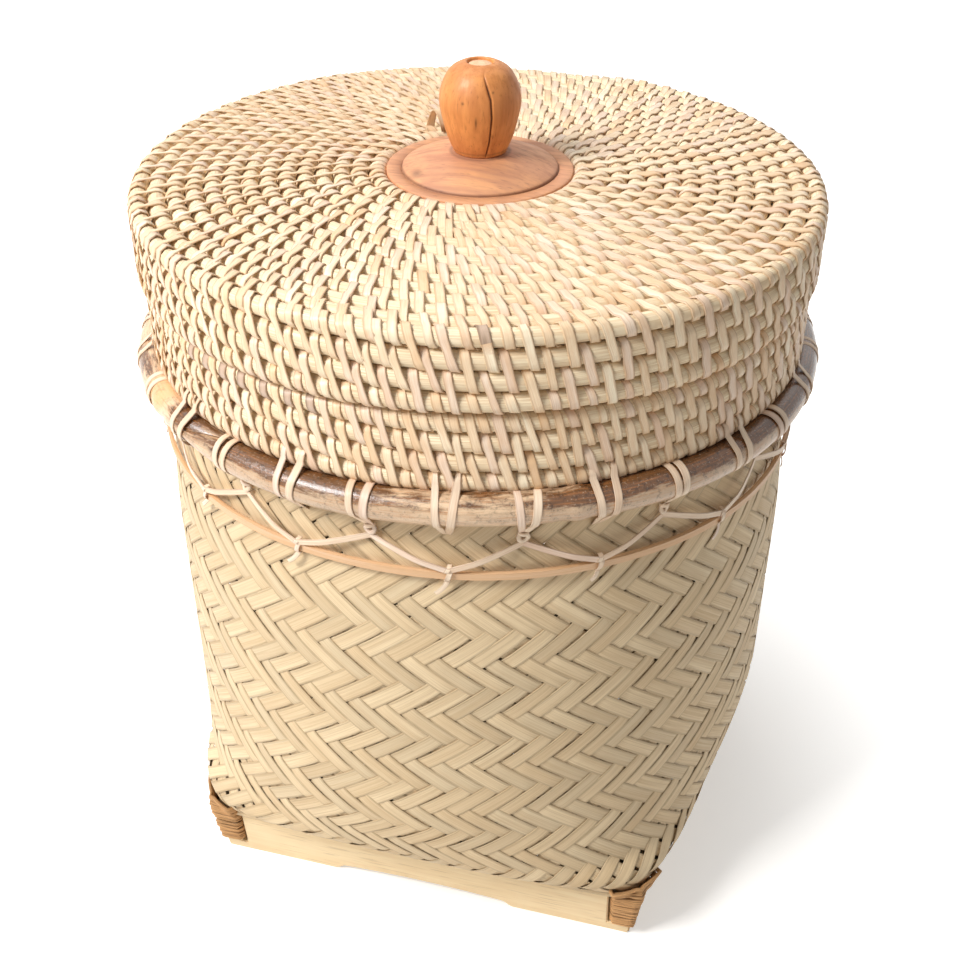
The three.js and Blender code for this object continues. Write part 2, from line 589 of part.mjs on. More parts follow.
// Half of a lashing: a strap laid over the pole from its top to below it, at azimuth 0.
function strapGeometry(side, knotted) {
  const facet = (2 * Math.PI) / POLE_SIDES;
  const over = POLE_RADIUS + SEAT_GAP + STRAP_THICKNESS / 2;
  const lastFacet = knotted ? -1 : -2;
  const stops = [];
  for (let k = 2; k >= lastFacet; k--) stops.push(k * facet);
  const endLevel = knotted ? knotLevel : plainEndLevel;
  const endStandOff = SEAT_GAP + (knotted ? KNOT_SIZE.x : STRAP_THICKNESS / 2);
  const centres = stops.map((angle) =>
    new THREE.Vector3(poleRingRadius + over * Math.cos(angle), 0, poleLevel + over * Math.sin(angle)));
  centres.push(new THREE.Vector3(wallOuter(endLevel) + endStandOff, 0, endLevel));
  const lastWay = centres.at(-1).clone().sub(centres.at(-2)).normalize();
  const outs = stops.map((angle) => new THREE.Vector3(Math.cos(angle), 0, Math.sin(angle)));
  outs.push(new THREE.Vector3(-lastWay.z, 0, lastWay.x));
  const rings = centres.map((centre, i) => {
    const share = i / (centres.length - 1);
    const sideways = side * THREE.MathUtils.lerp(STRAP_SPREAD, STRAP_WIDTH / 4, share);
    return [[1, -1], [1, 1], [-1, 1], [-1, -1]].map(([out, along]) =>
      centre.clone().addScaledVector(outs[i], (out * STRAP_THICKNESS) / 2)
        .add(new THREE.Vector3(0, sideways + (along * STRAP_WIDTH) / 2, 0)));
  });
  return skin(rings);
}

// Two straps in a V, with a knot where they meet or both ends going into the weave.
function lashingGeometry(knotted) {
  let pair = solid(strapGeometry(1, knotted)).add(solid(strapGeometry(-1, knotted)));
  if (knotted) {
    const knot = new THREE.IcosahedronGeometry(1).scale(...KNOT_SIZE);
    knot.translate(wallOuter(knotLevel) + SEAT_GAP + KNOT_SIZE.x, 0, knotLevel);
    pair = pair.add(solid(knot));
  }
  return fromSolid(pair);
}

// Lace that runs from each knot down over the lower hoop and up to the next.
function laceGeometry() {
  const section = flatSection(LACE_THICKNESS, LACE_WIDTH);
  const peak = knotLevel - KNOT_SIZE.z - 2 * SEAT_GAP - LACE_WIDTH / 2;
  const peakRadius = wallOuter(peak - LACE_WIDTH / 2) + SEAT_GAP + LACE_THICKNESS;
  const tieRadius = lowerHoopOuter + 2 * SEAT_GAP + LACE_THICKNESS;
  const stops = [
    { share: 0, radius: peakRadius, level: peak },
    { share: 0.25, radius: tieRadius, level: (peak + lowerHoopLevel) / 2 },
    { share: 0.5, radius: tieRadius, level: lowerHoopLevel - 1 },
    { share: 0.75, radius: tieRadius, level: (peak + lowerHoopLevel) / 2 },
  ];
  const path = [];
  for (let pair = 0; pair < LASHING_PAIRS; pair++) {
    for (const { share, radius, level } of stops) {
      const azimuth = THREE.MathUtils.degToRad(FIRST_KNOT_AZIMUTH) + ((pair + share) * 2 * Math.PI) / LASHING_PAIRS;
      path.push(new THREE.Vector3(radius * Math.cos(azimuth), radius * Math.sin(azimuth), level));
    }
  }
  return skin(uprightRings(path, () => section, true), true);
}

// Materials
const finish = (color, roughness) => new THREE.MeshStandardMaterial({ color, roughness, metalness: 0 });
const coiledRattan = finish(0xdcc69c, 0.55);
const turnedKnobWood = finish(0xc47e42, 0.5);
const turnedDiscWood = finish(0xc49676, 0.55);
const pegWood = finish(0xe0b890, 0.6);
const polishedPole = finish(0x8a6238, 0.35);
const splitCane = finish(0xcdaa80, 0.5);
const peelStrip = finish(0xc8a06c, 0.45);
const wovenBamboo = finish(0xd6c29a, 0.5);
const paleBoard = finish(0xe8cfa2, 0.65);
const brownCane = finish(0xa86c3c, 0.6);

// Assembly
const basket = new THREE.Group();
const lid = new THREE.Group();
const holder = new THREE.Group();
basket.add(lid, holder);

function place(parent, name, geometry, material, degrees = 0) {
  const mesh = new THREE.Mesh(geometry, material);
  mesh.name = name;
  mesh.rotation.z = THREE.MathUtils.degToRad(degrees);
  parent.add(mesh);
}

function placeWound(parent, name, rings, stepsPerLoop, material) {
  console.log(`${name}: least gap between its loops ${leastGap(rings, stepsPerLoop).toFixed(2)} mm`);
  place(parent, name, skin(rings), material);
}

place(lid, 'lid_knob', knobGeometry(), turnedKnobWood);
place(lid, 'knob_dowel', pegGeometry(), pegWood);
place(lid, 'knob_plate', discGeometry(), turnedDiscWood);

const buttTurn = edgeTurn + 1 - SHIFT_SHARE;
const buttHalf = (2 * CORE_RADIUS + BUTT_GAP / 2) / (2 * Math.PI * lidCoreRadius);
const topRings = coilRings(lidCore, -SHIFT_SHARE * 0.4, buttTurn - 2 * buttHalf);
const sideRings = coilRings(lidCore, buttTurn, lidLastTurn + 1 - SHIFT_SHARE / 2);
const collarCore = (turn) => sideCore(turn, collarCoreRadius, collarTopRow, COLLAR_ROWS - 1, SIDE_HALF_HEIGHT);
const collarRings = coilRings(collarCore, -SHIFT_SHARE * 0.7, COLLAR_ROWS - SHIFT_SHARE / 2);
placeWound(lid, 'lid_top_coil', topRings, STEPS_PER_LOOP, coiledRattan);
placeWound(lid, 'lid_wall_coil', sideRings, STEPS_PER_LOOP, coiledRattan);
placeWound(holder, 'collar_coil', collarRings, STEPS_PER_LOOP, coiledRattan);

const seatHoopBottom = weaveTop + SEAT_GAP;
const seatHoopTop = lidTopLevel(lidCoreRadius - TOP_PITCH) - CORE_RADIUS - SEAT_GAP;
place(holder, 'seat_hoop', hoop(seatHoopOuter - SEAT_HOOP_THICKNESS, seatHoopOuter, seatHoopBottom, seatHoopTop), splitCane);
place(holder, 'inner_rim_hoop',
  hoop(innerHoopOuter - INNER_HOOP_THICKNESS, innerHoopOuter, weaveTop - INNER_HOOP_HEIGHT, weaveTop), splitCane);
place(holder, 'rim_pole', poleGeometry(), polishedPole);
place(holder, 'lower_hoop',
  hoop(lowerHoopInner, lowerHoopOuter, lowerHoopLevel - hoopHalf, lowerHoopLevel + hoopHalf), splitCane);
place(holder, 'zigzag_lace', laceGeometry(), peelStrip);
place(holder, 'woven_body', wovenBodyGeometry(), wovenBamboo);
place(holder, 'woven_floor', wovenFloorGeometry(), wovenBamboo);

const board = boardGeometry();
const cornerRings = cornerLashingRings();
const cornerLashing = skin(cornerRings);
console.log(`corner lashing: least gap between its loops ${leastGap(cornerRings, 10).toFixed(2)} mm`);
const sides = ['front', 'right', 'back', 'left'];
sides.forEach((side, i) => {
  place(holder, `base_board_${side}`, board, paleBoard, 90 * i);
  place(holder, `corner_lashing_${side}_${sides[(i + 1) % 4]}`, cornerLashing, brownCane, 90 * i);
});

const knottedLashing = lashingGeometry(true);
const plainLashing = lashingGeometry(false);
const lashingStep = 360 / LASHING_PAIRS;
for (let pair = 0; pair < LASHING_PAIRS; pair++) {
  const number = String(pair + 1).padStart(2, '0');
  const azimuth = FIRST_KNOT_AZIMUTH + pair * lashingStep;
  place(holder, `knotted_lashing_${number}`, knottedLashing, peelStrip, azimuth);
  place(holder, `plain_lashing_${number}`, plainLashing, peelStrip, azimuth + lashingStep / 2);
}

export default basket;
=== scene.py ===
"""Looks of a lidded rattan basket: a coiled lid and collar, a lashed rim, a twill-woven body and four boards.

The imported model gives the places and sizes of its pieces. Lengths are metres, the front board faces -Y.
"""

import math

import bmesh
import bpy
import numpy as np
from bpy.props import FloatProperty, FloatVectorProperty, IntProperty, PointerProperty
from mathutils import Matrix, Vector


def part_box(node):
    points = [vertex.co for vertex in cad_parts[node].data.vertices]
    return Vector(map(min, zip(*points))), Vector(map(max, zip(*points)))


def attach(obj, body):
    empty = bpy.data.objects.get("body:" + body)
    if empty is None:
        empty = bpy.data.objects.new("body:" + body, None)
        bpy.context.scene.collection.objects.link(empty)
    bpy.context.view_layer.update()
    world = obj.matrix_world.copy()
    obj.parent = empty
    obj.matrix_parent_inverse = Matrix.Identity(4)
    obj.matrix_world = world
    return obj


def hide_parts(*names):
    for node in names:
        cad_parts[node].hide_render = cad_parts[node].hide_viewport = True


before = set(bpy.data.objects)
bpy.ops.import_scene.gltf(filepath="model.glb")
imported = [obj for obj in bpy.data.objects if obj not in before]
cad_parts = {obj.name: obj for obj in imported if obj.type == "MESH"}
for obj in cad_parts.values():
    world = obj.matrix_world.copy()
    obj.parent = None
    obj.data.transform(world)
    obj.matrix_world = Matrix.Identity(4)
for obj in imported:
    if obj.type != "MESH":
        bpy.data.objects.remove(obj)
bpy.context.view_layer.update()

bl_info = {
    "name": "Lidded rattan basket",
    "version": (1, 0, 0),
    "blender": (4, 5, 0),
    "location": "View3D > Sidebar > Basket",
    "description": "Builds the coils, lashings, weave and boards of a lidded rattan basket",
    "category": "Object",
}

MM = 0.001

# Coils, as the model winds them
SHIFT_SHARE = 1 / 6
SHIFT_AZIMUTH = math.radians(134)
TOP_PITCH = 7.8 * MM
SIDE_PITCH = 8.7 * MM
TOP_ROWS = 14
SIDE_ROWS = 3
COLLAR_ROWS = 4
LAST_ROW_SHARE = 1 - SHIFT_SHARE
LID_DOME = 2.2 * MM
LID_OVERHANG = 2.3 * MM
CORE_FULL = 3.7 * MM
SIDE_HALF_HEIGHT = 4.1 * MM
EDGE_TURN = TOP_ROWS - 1
LID_TURNS = TOP_ROWS + SIDE_ROWS
HALF_PITCH = SIDE_PITCH / 2
CORE_STEP = 1 / 120
CORE_TONE = 0.3
THINNEST_CORE = 0.2
COIL_END = SHIFT_SHARE * 0.35
WEDGE_STRETCH = 0.95
TUCKED_REACH = 0.72

# Levels and radii of the frame
BOARD_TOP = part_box("base_board_front")[1][2]
BOARD_HALF = -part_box("base_board_front")[0][1]
BOARD_LEAN = 3.5 * MM
WEAVE_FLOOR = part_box("woven_body")[0][2]
WEAVE_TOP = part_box("woven_body")[1][2]
BELLY_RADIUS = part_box("woven_body")[1][0]
WEAVE_FOOT = BOARD_HALF + 0.5 * MM
NECK_RADIUS = BELLY_RADIUS - 6.9 * MM
COLLAR_RADIUS = NECK_RADIUS + 6.4 * MM - CORE_FULL
COLLAR_TOP_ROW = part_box("collar_coil")[1][2] - SIDE_HALF_HEIGHT
LID_RADIUS = COLLAR_RADIUS + LID_OVERHANG
LID_EDGE_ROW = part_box("lid_wall_coil")[0][2] + SIDE_HALF_HEIGHT + SIDE_ROWS * SIDE_PITCH
FIRST_ROW_RADIUS = LID_RADIUS - EDGE_TURN * TOP_PITCH
POLE_LOW, POLE_HIGH = (Vector(corner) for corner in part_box("rim_pole"))
POLE_RADIUS = (POLE_HIGH.z - POLE_LOW.z) / 2
POLE_LEVEL = (POLE_HIGH.z + POLE_LOW.z) / 2
POLE_RING = POLE_HIGH.x - POLE_RADIUS
HOOP_LOW, HOOP_HIGH = (Vector(corner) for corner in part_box("lower_hoop"))
HOOP_LEVEL = (HOOP_LOW.z + HOOP_HIGH.z) / 2
KNOB_LOW, KNOB_HIGH = (Vector(corner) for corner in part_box("lid_knob"))
DISC_LOW, DISC_HIGH = (Vector(corner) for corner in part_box("knob_plate"))
PEG_LOW, PEG_HIGH = (Vector(corner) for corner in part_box("knob_dowel"))
KNOB_FOOT = KNOB_LOW.z + 2 * MM
KNOB_TOP = KNOB_HIGH.z - 2 * MM

# Lashings
PAIRS = 15
FIRST_KNOT = math.radians(-91.5)
PAIR_STEP = 2 * math.pi / PAIRS
KNOT_LEVEL = WEAVE_TOP - 22.2 * MM
PLAIN_LEVEL = WEAVE_TOP - 21.5 * MM

# Photographed view
PHOTO_FOCAL = 1350
PHOTO_SIDE = 980
PHOTO_CENTRE = (515, 490)
CAMERA_PLACE = Vector((153.54, -542.45, 571.60)) * MM
CAMERA_FORWARD = Vector((-0.19855, 0.79648, -0.57113))
CAMERA_UP = Vector((-0.15606, 0.54960, 0.82072))
SENSOR_WIDTH = 36
VIEW_AZIMUTH = math.radians(-74.2)


# Settings


def length(name, text, value):
    return FloatProperty(name=name, description=text, default=value, min=0, unit="LENGTH", precision=4)


def colour(name, text, red, green, blue):
    """A colour property whose default is given in 0 to 255 as it shows on a screen."""

    def linear(part):
        share = part / 255
        return share / 12.92 if share <= 0.04045 else ((share + 0.055) / 1.055) ** 2.4

    default = (linear(red), linear(green), linear(blue), 1.0)
    return FloatVectorProperty(
        name=name, description=text, subtype="COLOR", size=4, min=0, max=1, default=default)


class BasketSizes(bpy.types.PropertyGroup):
    """Sizes of the strips, canes and joints"""

    core: length("Core radius", "Radius of the coiled core without its wrapping", 3.62 * MM)
    core_tall: FloatProperty(name="Core height share", description="Height of the side rows over their width",
                             default=1.15, min=0.8, max=1.3)
    stitch_width: length("Stitch width", "Width of a peel strip round the coils", 3.8 * MM)
    stitch_thickness: length("Stitch thickness", "Thickness of a peel strip round the coils", 0.75 * MM)
    stitch_spacing: length("Stitch spacing", "From one stitch to the next along the lid's first row", 10 * MM)
    stitch_drift: length(
        "Stitch drift", "How far each row's stitches start after the middle of the one before", 0.9 * MM)
    collar_spacing: length(
        "Collar stitch spacing", "From one stitch to the next along a collar row", 10.7 * MM)
    stitch_slant: length("Stitch slant", "How far a stitch over two rows shifts along them", 4.1 * MM)
    ribbon_width: length("Weaving strip width", "Width of a strip of the woven body", 7.65 * MM)
    ribbon_thickness: length("Weaving strip thickness", "Thickness of a strip of the woven body", 0.6 * MM)
    ribbon_count: IntProperty(
        name="Weaving strips", description="Strips in each direction", default=76, min=24)
    cell_height: length("Crossing height", "From one crossing to the next above it", 10 * MM)
    strap_width: length("Strap width", "Width of a lashing over the rim pole", 3.3 * MM)
    strap_thickness: length("Strap thickness", "Thickness of a lashing over the rim pole", 0.6 * MM)
    lace_width: length("Lace width", "Width of the zigzag lace", 2.8 * MM)
    cane_width: length("Binding width", "Width of one turn of the corner lashings", 1.7 * MM)
    board_round: length("Board rounding", "Radius of the edges of the base boards", 0.7 * MM)
    crack_depth: length("Crack depth", "Depth of the drying crack in the knob", 0.9 * MM)


class BasketColours(bpy.types.PropertyGroup):
    """Colours of the cane, bamboo and wood"""

    core: colour("Coil core", "Pale core between the stitches", 255, 238, 204)
    core_green: colour("Coil core shade", "Straw lines in the core", 216, 168, 112)
    peel: colour("Peel strip", "Pale side of the stitches", 255, 241, 212)
    peel_dark: colour("Peel strip shade", "Orange tan streaks of the stitches", 224, 172, 116)
    blush: colour("Peel strip blush", "Pinkish strips among the others", 240, 216, 200)
    stain: colour("Stain", "Grey brown stains", 112, 92, 78)
    weave: colour("Weaving strip", "Straw beige of the woven body", 240, 217, 178)
    weave_dark: colour("Weaving strip shade", "Khaki lines of the woven body", 204, 172, 128)
    weave_grey: colour("Weaving strip grey", "Greyish strips among the others", 210, 190, 156)
    pole: colour("Pole bark", "Brown of the rim pole", 108, 70, 38)
    strap: colour("Strap", "Pinkish cream of the lashings", 255, 236, 210)
    strap_dark: colour("Strap shade", "Tan streaks of the lashings", 214, 170, 132)
    pole_pale: colour("Pole worn", "Tan of the rim pole where it is worn", 228, 196, 160)
    knuckle: colour("Pole knuckle", "Light orange of the pole's left knuckle", 236, 180, 122)
    cane: colour("Split cane", "Tan of the lower hoop", 224, 186, 148)
    binding: colour("Corner binding", "Orange brown of the corner lashings", 228, 172, 112)
    board: colour("Base board", "Pale yellow of the boards", 252, 228, 186)
    board_dark: colour("Base board lines", "Faint lines in the boards", 234, 202, 156)
    knob: colour("Knob wood", "Orange brown of the knob", 232, 156, 88)
    knob_dark: colour("Knob grain", "Dark lines in the knob", 182, 106, 52)
    disc: colour("Disc wood", "Pinkish brown of the disc", 226, 164, 116)
    disc_dark: colour("Disc grain", "Darker rings of the disc", 176, 122, 98)
    peg: colour("Peg wood", "Pale plug in the knob", 240, 208, 172)
    floor: colour("Floor", "Floor under the basket", 236, 234, 230)


def sizes():
    return bpy.context.scene.basket_sizes


def colours():
    return bpy.context.scene.basket_colours


def darker(tint, share):
    """A colour with its red, green and blue brought down to a share."""
    return [part * share for part in tint[:3]] + [1.0]


# Lines and ways


def polar(radius, azimuth, level):
    """Points, or ways, from how far they reach from the axis, their azimuth and their level."""
    parts = np.broadcast_arrays(radius * np.cos(azimuth), radius * np.sin(azimuth), level)
    return np.stack(parts, axis=-1)


def unit(ways):
    return ways / np.linalg.norm(ways, axis=1)[:, None]


def walked_lengths(points):
    """Length walked along a line up to each of its points."""
    steps = np.linalg.norm(np.diff(points, axis=0), axis=1)
    return np.concatenate([[0.0], np.cumsum(steps)])


def round_angles(amount):
    return np.linspace(0, 2 * math.pi, amount + 1)[:-1]


def nearest_turn(angle):
    """An angle in radians brought to within half a turn of 0."""
    return (angle + math.pi) % (2 * math.pi) - math.pi


def nearest_degrees(angle):
    return (angle + 180) % 360 - 180


# Node helpers


def put(tree, kind, inputs=None, **settings):
    """Adds a node, sets its properties, and fills its inputs from values or other nodes' outputs."""
    node = tree.nodes.new(kind)
    for name, value in settings.items():
        setattr(node, name, value)
    for name, value in (inputs or {}).items():
        socket = node.inputs[name]
        if isinstance(value, bpy.types.NodeSocket):
            tree.links.new(value, socket)
        else:
            socket.default_value = value
    return node


def reckon(tree, operation, first, second=0.0, third=None):
    """A Math node's output."""
    inputs = {0: first, 1: second}
    if third is not None:
        inputs[2] = third
    return put(tree, "ShaderNodeMath", inputs, operation=operation).outputs[0]


def times(tree, first, second):
    return reckon(tree, "MULTIPLY", first, second)


def blend(tree, factor, first, second):
    """A colour Mix node's output."""
    return put(tree, "ShaderNodeMix", {0: factor, 6: first, 7: second}, data_type="RGBA").outputs[2]


def spread(tree, value, low, high, to_low=0.0, to_high=1.0):
    """A clamped Map Range node's output, smooth at both ends."""
    inputs = {"Value": value, "From Min": low, "From Max": high, "To Min": to_low, "To Max": to_high}
    return put(tree, "ShaderNodeMapRange", inputs, interpolation_type="SMOOTHSTEP").outputs["Result"]


def attribute(tree, name):
    """The value of a float attribute."""
    return put(tree, "ShaderNodeAttribute", attribute_name=name).outputs["Fac"]


def vector(tree, x, y, z):
    return put(tree, "ShaderNodeCombineXYZ", {"X": x, "Y": y, "Z": z}).outputs["Vector"]


def noise(tree, place, scale, detail=2.0, rough=0.5):
    inputs = {"Vector": place, "Scale": scale, "Detail": detail, "Roughness": rough}
    return put(tree, "ShaderNodeTexNoise", inputs).outputs["Fac"]


def new_group(name, kind, inputs, outputs):
    """An empty node group with named sockets, and its input and output nodes."""
    tree = bpy.data.node_groups.new(name, kind)
    for label, socket_type, default in inputs:
        socket = tree.interface.new_socket(label, in_out="INPUT", socket_type=socket_type)
        if default is not None:
            socket.default_value = default
    for label, socket_type in outputs:
        tree.interface.new_socket(label, in_out="OUTPUT", socket_type=socket_type)
    return tree, tree.nodes.new("NodeGroupInput"), tree.nodes.new("NodeGroupOutput")


def seen_ray(tree):
    """1 for rays that show a surface, seen straight, mirrored or through glass; 0 for those that light it."""
    path = put(tree, "ShaderNodeLightPath")
    seen = reckon(tree, "MAXIMUM", path.outputs["Is Camera Ray"], path.outputs["Is Glossy Ray"])
    return reckon(tree, "MAXIMUM", seen, path.outputs["Is Transmission Ray"])


# Shader groups


FIBRE_OUTPUTS = ("Lines", "Patches", "Edge", "Tone", "Height")


def fibre_group():
    """Fine lines that run along a strip, with slow patches and a mask of painted shade along its edges; it
    reads along, across and tone.
    """
    name = "Cane fibre"
    if name in bpy.data.node_groups:
        return bpy.data.node_groups[name]
    number = "NodeSocketFloat"
    tree, given, result = new_group(
        name, "ShaderNodeTree",
        [("Line Length", number, 0.04), ("Lines Across", number, 6.0),
         ("Patch Length", number, 0.05), ("Edge Shade From", number, 0.45)],
        [(label, number) for label in FIBRE_OUTPUTS],
    )
    along = attribute(tree, "along")
    across = attribute(tree, "across")
    tone = attribute(tree, "tone")
    seed = times(tree, tone, 57.0)
    line_place = vector(
        tree,
        reckon(tree, "DIVIDE", along, given.outputs["Line Length"]),
        times(tree, across, given.outputs["Lines Across"]),
        seed,
    )
    lines = noise(tree, line_place, 1.0, 4.0, 0.65)
    patch_place = vector(
        tree,
        reckon(tree, "DIVIDE", along, given.outputs["Patch Length"]),
        times(tree, across, 0.7),
        reckon(tree, "ADD", seed, 11.0),
    )
    patches = noise(tree, patch_place, 1.0, 2.0)
    # Edge: rises towards both edges of a strip and carries painted shade there.
    edge_end = reckon(tree, "ADD", given.outputs["Edge Shade From"], 0.2)
    edge = spread(tree, reckon(tree, "ABSOLUTE", across), given.outputs["Edge Shade From"], edge_end)
    values = (spread(tree, lines, 0.34, 0.68), spread(tree, patches, 0.35, 0.68), edge, tone, lines)
    for label, value in zip(FIBRE_OUTPUTS, values):
        tree.links.new(value, result.inputs[label])
    return tree


def wood_group():
    """Grain that runs along one way of the object, with pores and slow shading."""
    name = "Turned wood grain"
    if name in bpy.data.node_groups:
        return bpy.data.node_groups[name]
    number = "NodeSocketFloat"
    tree, given, result = new_group(
        name, "ShaderNodeTree",
        [("Stretch", "NodeSocketVector", (1.0, 1.0, 0.08)), ("Grain Scale", number, 400.0)],
        [("Grain", number), ("Pores", number), ("Patches", number)],
    )
    place = put(tree, "ShaderNodeTexCoord").outputs["Object"]
    factors = {0: place, 1: given.outputs["Stretch"]}
    stretched = put(tree, "ShaderNodeVectorMath", factors, operation="MULTIPLY").outputs["Vector"]
    grain = noise(tree, stretched, given.outputs["Grain Scale"], 5.0, 0.6)
    fine = times(tree, given.outputs["Grain Scale"], 4.0)
    pores = noise(tree, stretched, fine, 2.0)
    patches = noise(tree, place, 45.0, 3.0)
    tree.links.new(spread(tree, grain, 0.35, 0.68), result.inputs["Grain"])
    tree.links.new(spread(tree, pores, 0.6, 0.72), result.inputs["Pores"])
    tree.links.new(spread(tree, patches, 0.36, 0.66), result.inputs["Patches"])
    return tree


def new_material(name):
    material = bpy.data.materials.new(name)
    material.use_nodes = True
    tree = material.node_tree
    shader = tree.nodes["Principled BSDF"]
    return material, tree, shader


def bump(tree, shader, height, strength, distance):
    inputs = {"Height": height, "Strength": strength, "Distance": distance}
    node = put(tree, "ShaderNodeBump", inputs)
    tree.links.new(node.outputs["Normal"], shader.inputs["Normal"])


def strip_material(name, pale, dark, other, stain, **finish):
    """Cane or bamboo: fibre lines, patches, painted shade along the edges, strips of another tint and a few
    stained ones.
    """
    look = {
        "line_length": 0.02, "lines_across": 5.0, "line_share": 0.6, "patch_share": 0.5, "edge_share": 0.45,
        "edge_from": 0.49, "stain_from": 0.93, "stain_share": 0.55, "tone_share": 0.55, "other_share": 0.6,
        "rough": 0.48, "coat": 0.0, "relief": 0.35,
    }
    look.update(finish)
    material, tree, shader = new_material(name)
    fibre = put(tree, "ShaderNodeGroup", node_tree=fibre_group())
    fibre.inputs["Line Length"].default_value = look["line_length"]
    fibre.inputs["Lines Across"].default_value = look["lines_across"]
    fibre.inputs["Patch Length"].default_value = look["line_length"] * 1.5
    fibre.inputs["Edge Shade From"].default_value = look["edge_from"]
    lines, patches, edge, tone, height = (fibre.outputs[label] for label in FIBRE_OUTPUTS)
    base = blend(tree, times(tree, tone, look["tone_share"]), pale, dark)
    picked = spread(tree, reckon(tree, "FRACT", times(tree, tone, 17.0)), 0.62, 0.78)
    base = blend(tree, times(tree, picked, look["other_share"]), base, other)
    base = blend(tree, times(tree, patches, look["patch_share"]), base, dark)
    base = blend(tree, times(tree, lines, look["line_share"]), base, darker(dark, 0.82))
    # Painted shade: both edges of each strip are darkened in place of the shadow in the gaps beside it.
    base = blend(tree, times(tree, edge, look["edge_share"]), base, darker(dark, 0.5))
    stained = spread(tree, tone, look["stain_from"], look["stain_from"] + 0.01)
    patchy = times(tree, stained, spread(tree, patches, 0.0, 0.9, 0.5, 1.0))
    base = blend(tree, times(tree, patchy, look["stain_share"]), base, stain)
    tree.links.new(base, shader.inputs["Base Color"])
    rough = reckon(tree, "MULTIPLY_ADD", lines, 0.2, look["rough"])
    tree.links.new(rough, shader.inputs["Roughness"])
    shader.inputs["Coat Weight"].default_value = look["coat"]
    shader.inputs["Coat Roughness"].default_value = 0.25
    bump(tree, shader, height, look["relief"], 0.4 * MM)
    return material


def wood_material(name, pale, dark, stretch, scale, rough, coat, grain_share, patch_share, mark_share=None):
    """Sawn or turned wood with grain along one way; its marks show that share of the grain's colour."""
    material, tree, shader = new_material(name)
    wood = put(tree, "ShaderNodeGroup", node_tree=wood_group())
    wood.inputs["Stretch"].default_value = stretch
    wood.inputs["Grain Scale"].default_value = scale
    base = blend(tree, times(tree, wood.outputs["Patches"], patch_share), pale, dark)
    base = blend(tree, times(tree, wood.outputs["Grain"], grain_share), base, dark)
    base = blend(tree, times(tree, wood.outputs["Pores"], 0.35), base, darker(dark, 0.55))
    if mark_share is not None:
        base = blend(tree, attribute(tree, "mark"), base, darker(dark, mark_share))
    tree.links.new(base, shader.inputs["Base Color"])
    roughness = reckon(tree, "MULTIPLY_ADD", wood.outputs["Grain"], 0.15, rough)
    tree.links.new(roughness, shader.inputs["Roughness"])
    shader.inputs["Coat Weight"].default_value = coat
    shader.inputs["Coat Roughness"].default_value = 0.2
    bump(tree, shader, wood.outputs["Grain"], 0.15, 0.3 * MM)
    return material


def made_once(name, make):
    """The material of that name, made the first time it is asked for."""
    return bpy.data.materials.get(name) or make(name)


def core_finish():
    tint = colours()
    return made_once("coiled_core", lambda name: strip_material(
        name, tint.core, tint.core_green, tint.core, tint.stain, line_length=0.03, lines_across=9.0,
        line_share=0.55, patch_share=0.25, edge_share=0.0, stain_from=2.0, tone_share=0.0, other_share=0.0,
        rough=0.5, relief=0.5))


def peel_finish():
    tint = colours()
    return made_once("peel_of_cane", lambda name: strip_material(
        name, tint.peel, tint.peel_dark, tint.blush, tint.stain, line_length=0.012, lines_across=4.0,
        line_share=0.3, patch_share=0.35, edge_share=0.45, edge_from=0.58, stain_from=0.98, stain_share=0.8,
        tone_share=0.7, rough=0.4, coat=0.15))


def strap_finish():
    tint = colours()
    return made_once("strap_peel", lambda name: strip_material(
        name, tint.strap, tint.strap_dark, tint.blush, tint.stain, line_length=0.012, lines_across=4.0,
        line_share=0.35, patch_share=0.3, edge_share=0.4, edge_from=0.62, stain_from=2.0, tone_share=0.5,
        rough=0.4, coat=0.15))


def weave_finish():
    tint = colours()
    return made_once("bamboo_strip", lambda name: strip_material(
        name, tint.weave, tint.weave_dark, tint.weave_grey, tint.stain, line_length=0.05, lines_across=7.0,
        line_share=0.45, patch_share=0.35, edge_share=0.4, edge_from=0.62, stain_from=0.93, stain_share=0.35,
        tone_share=0.6, rough=0.5))


def cane_finish():
    tint = colours()
    return made_once("split_hoop_cane", lambda name: strip_material(
        name, tint.cane, tint.peel_dark, tint.cane, tint.stain, line_length=0.04, lines_across=5.0,
        line_share=0.5, patch_share=0.4, edge_share=0.0, stain_from=2.0, rough=0.42, coat=0.15))


def binding_finish():
    tint = colours()
    return made_once("corner_binding", lambda name: strip_material(
        name, tint.binding, darker(tint.binding, 0.55), tint.peel_dark, tint.stain,
        line_length=0.008, lines_across=4.0, line_share=0.5, patch_share=0.4, edge_share=0.6, stain_from=0.88,
        rough=0.6, relief=0.6))


def pole_finish():
    """Bark of the rim pole: dark brown and glossy, worn to tan on its underside, with fine crazing."""
    return made_once("bark_of_pole", make_pole_finish)


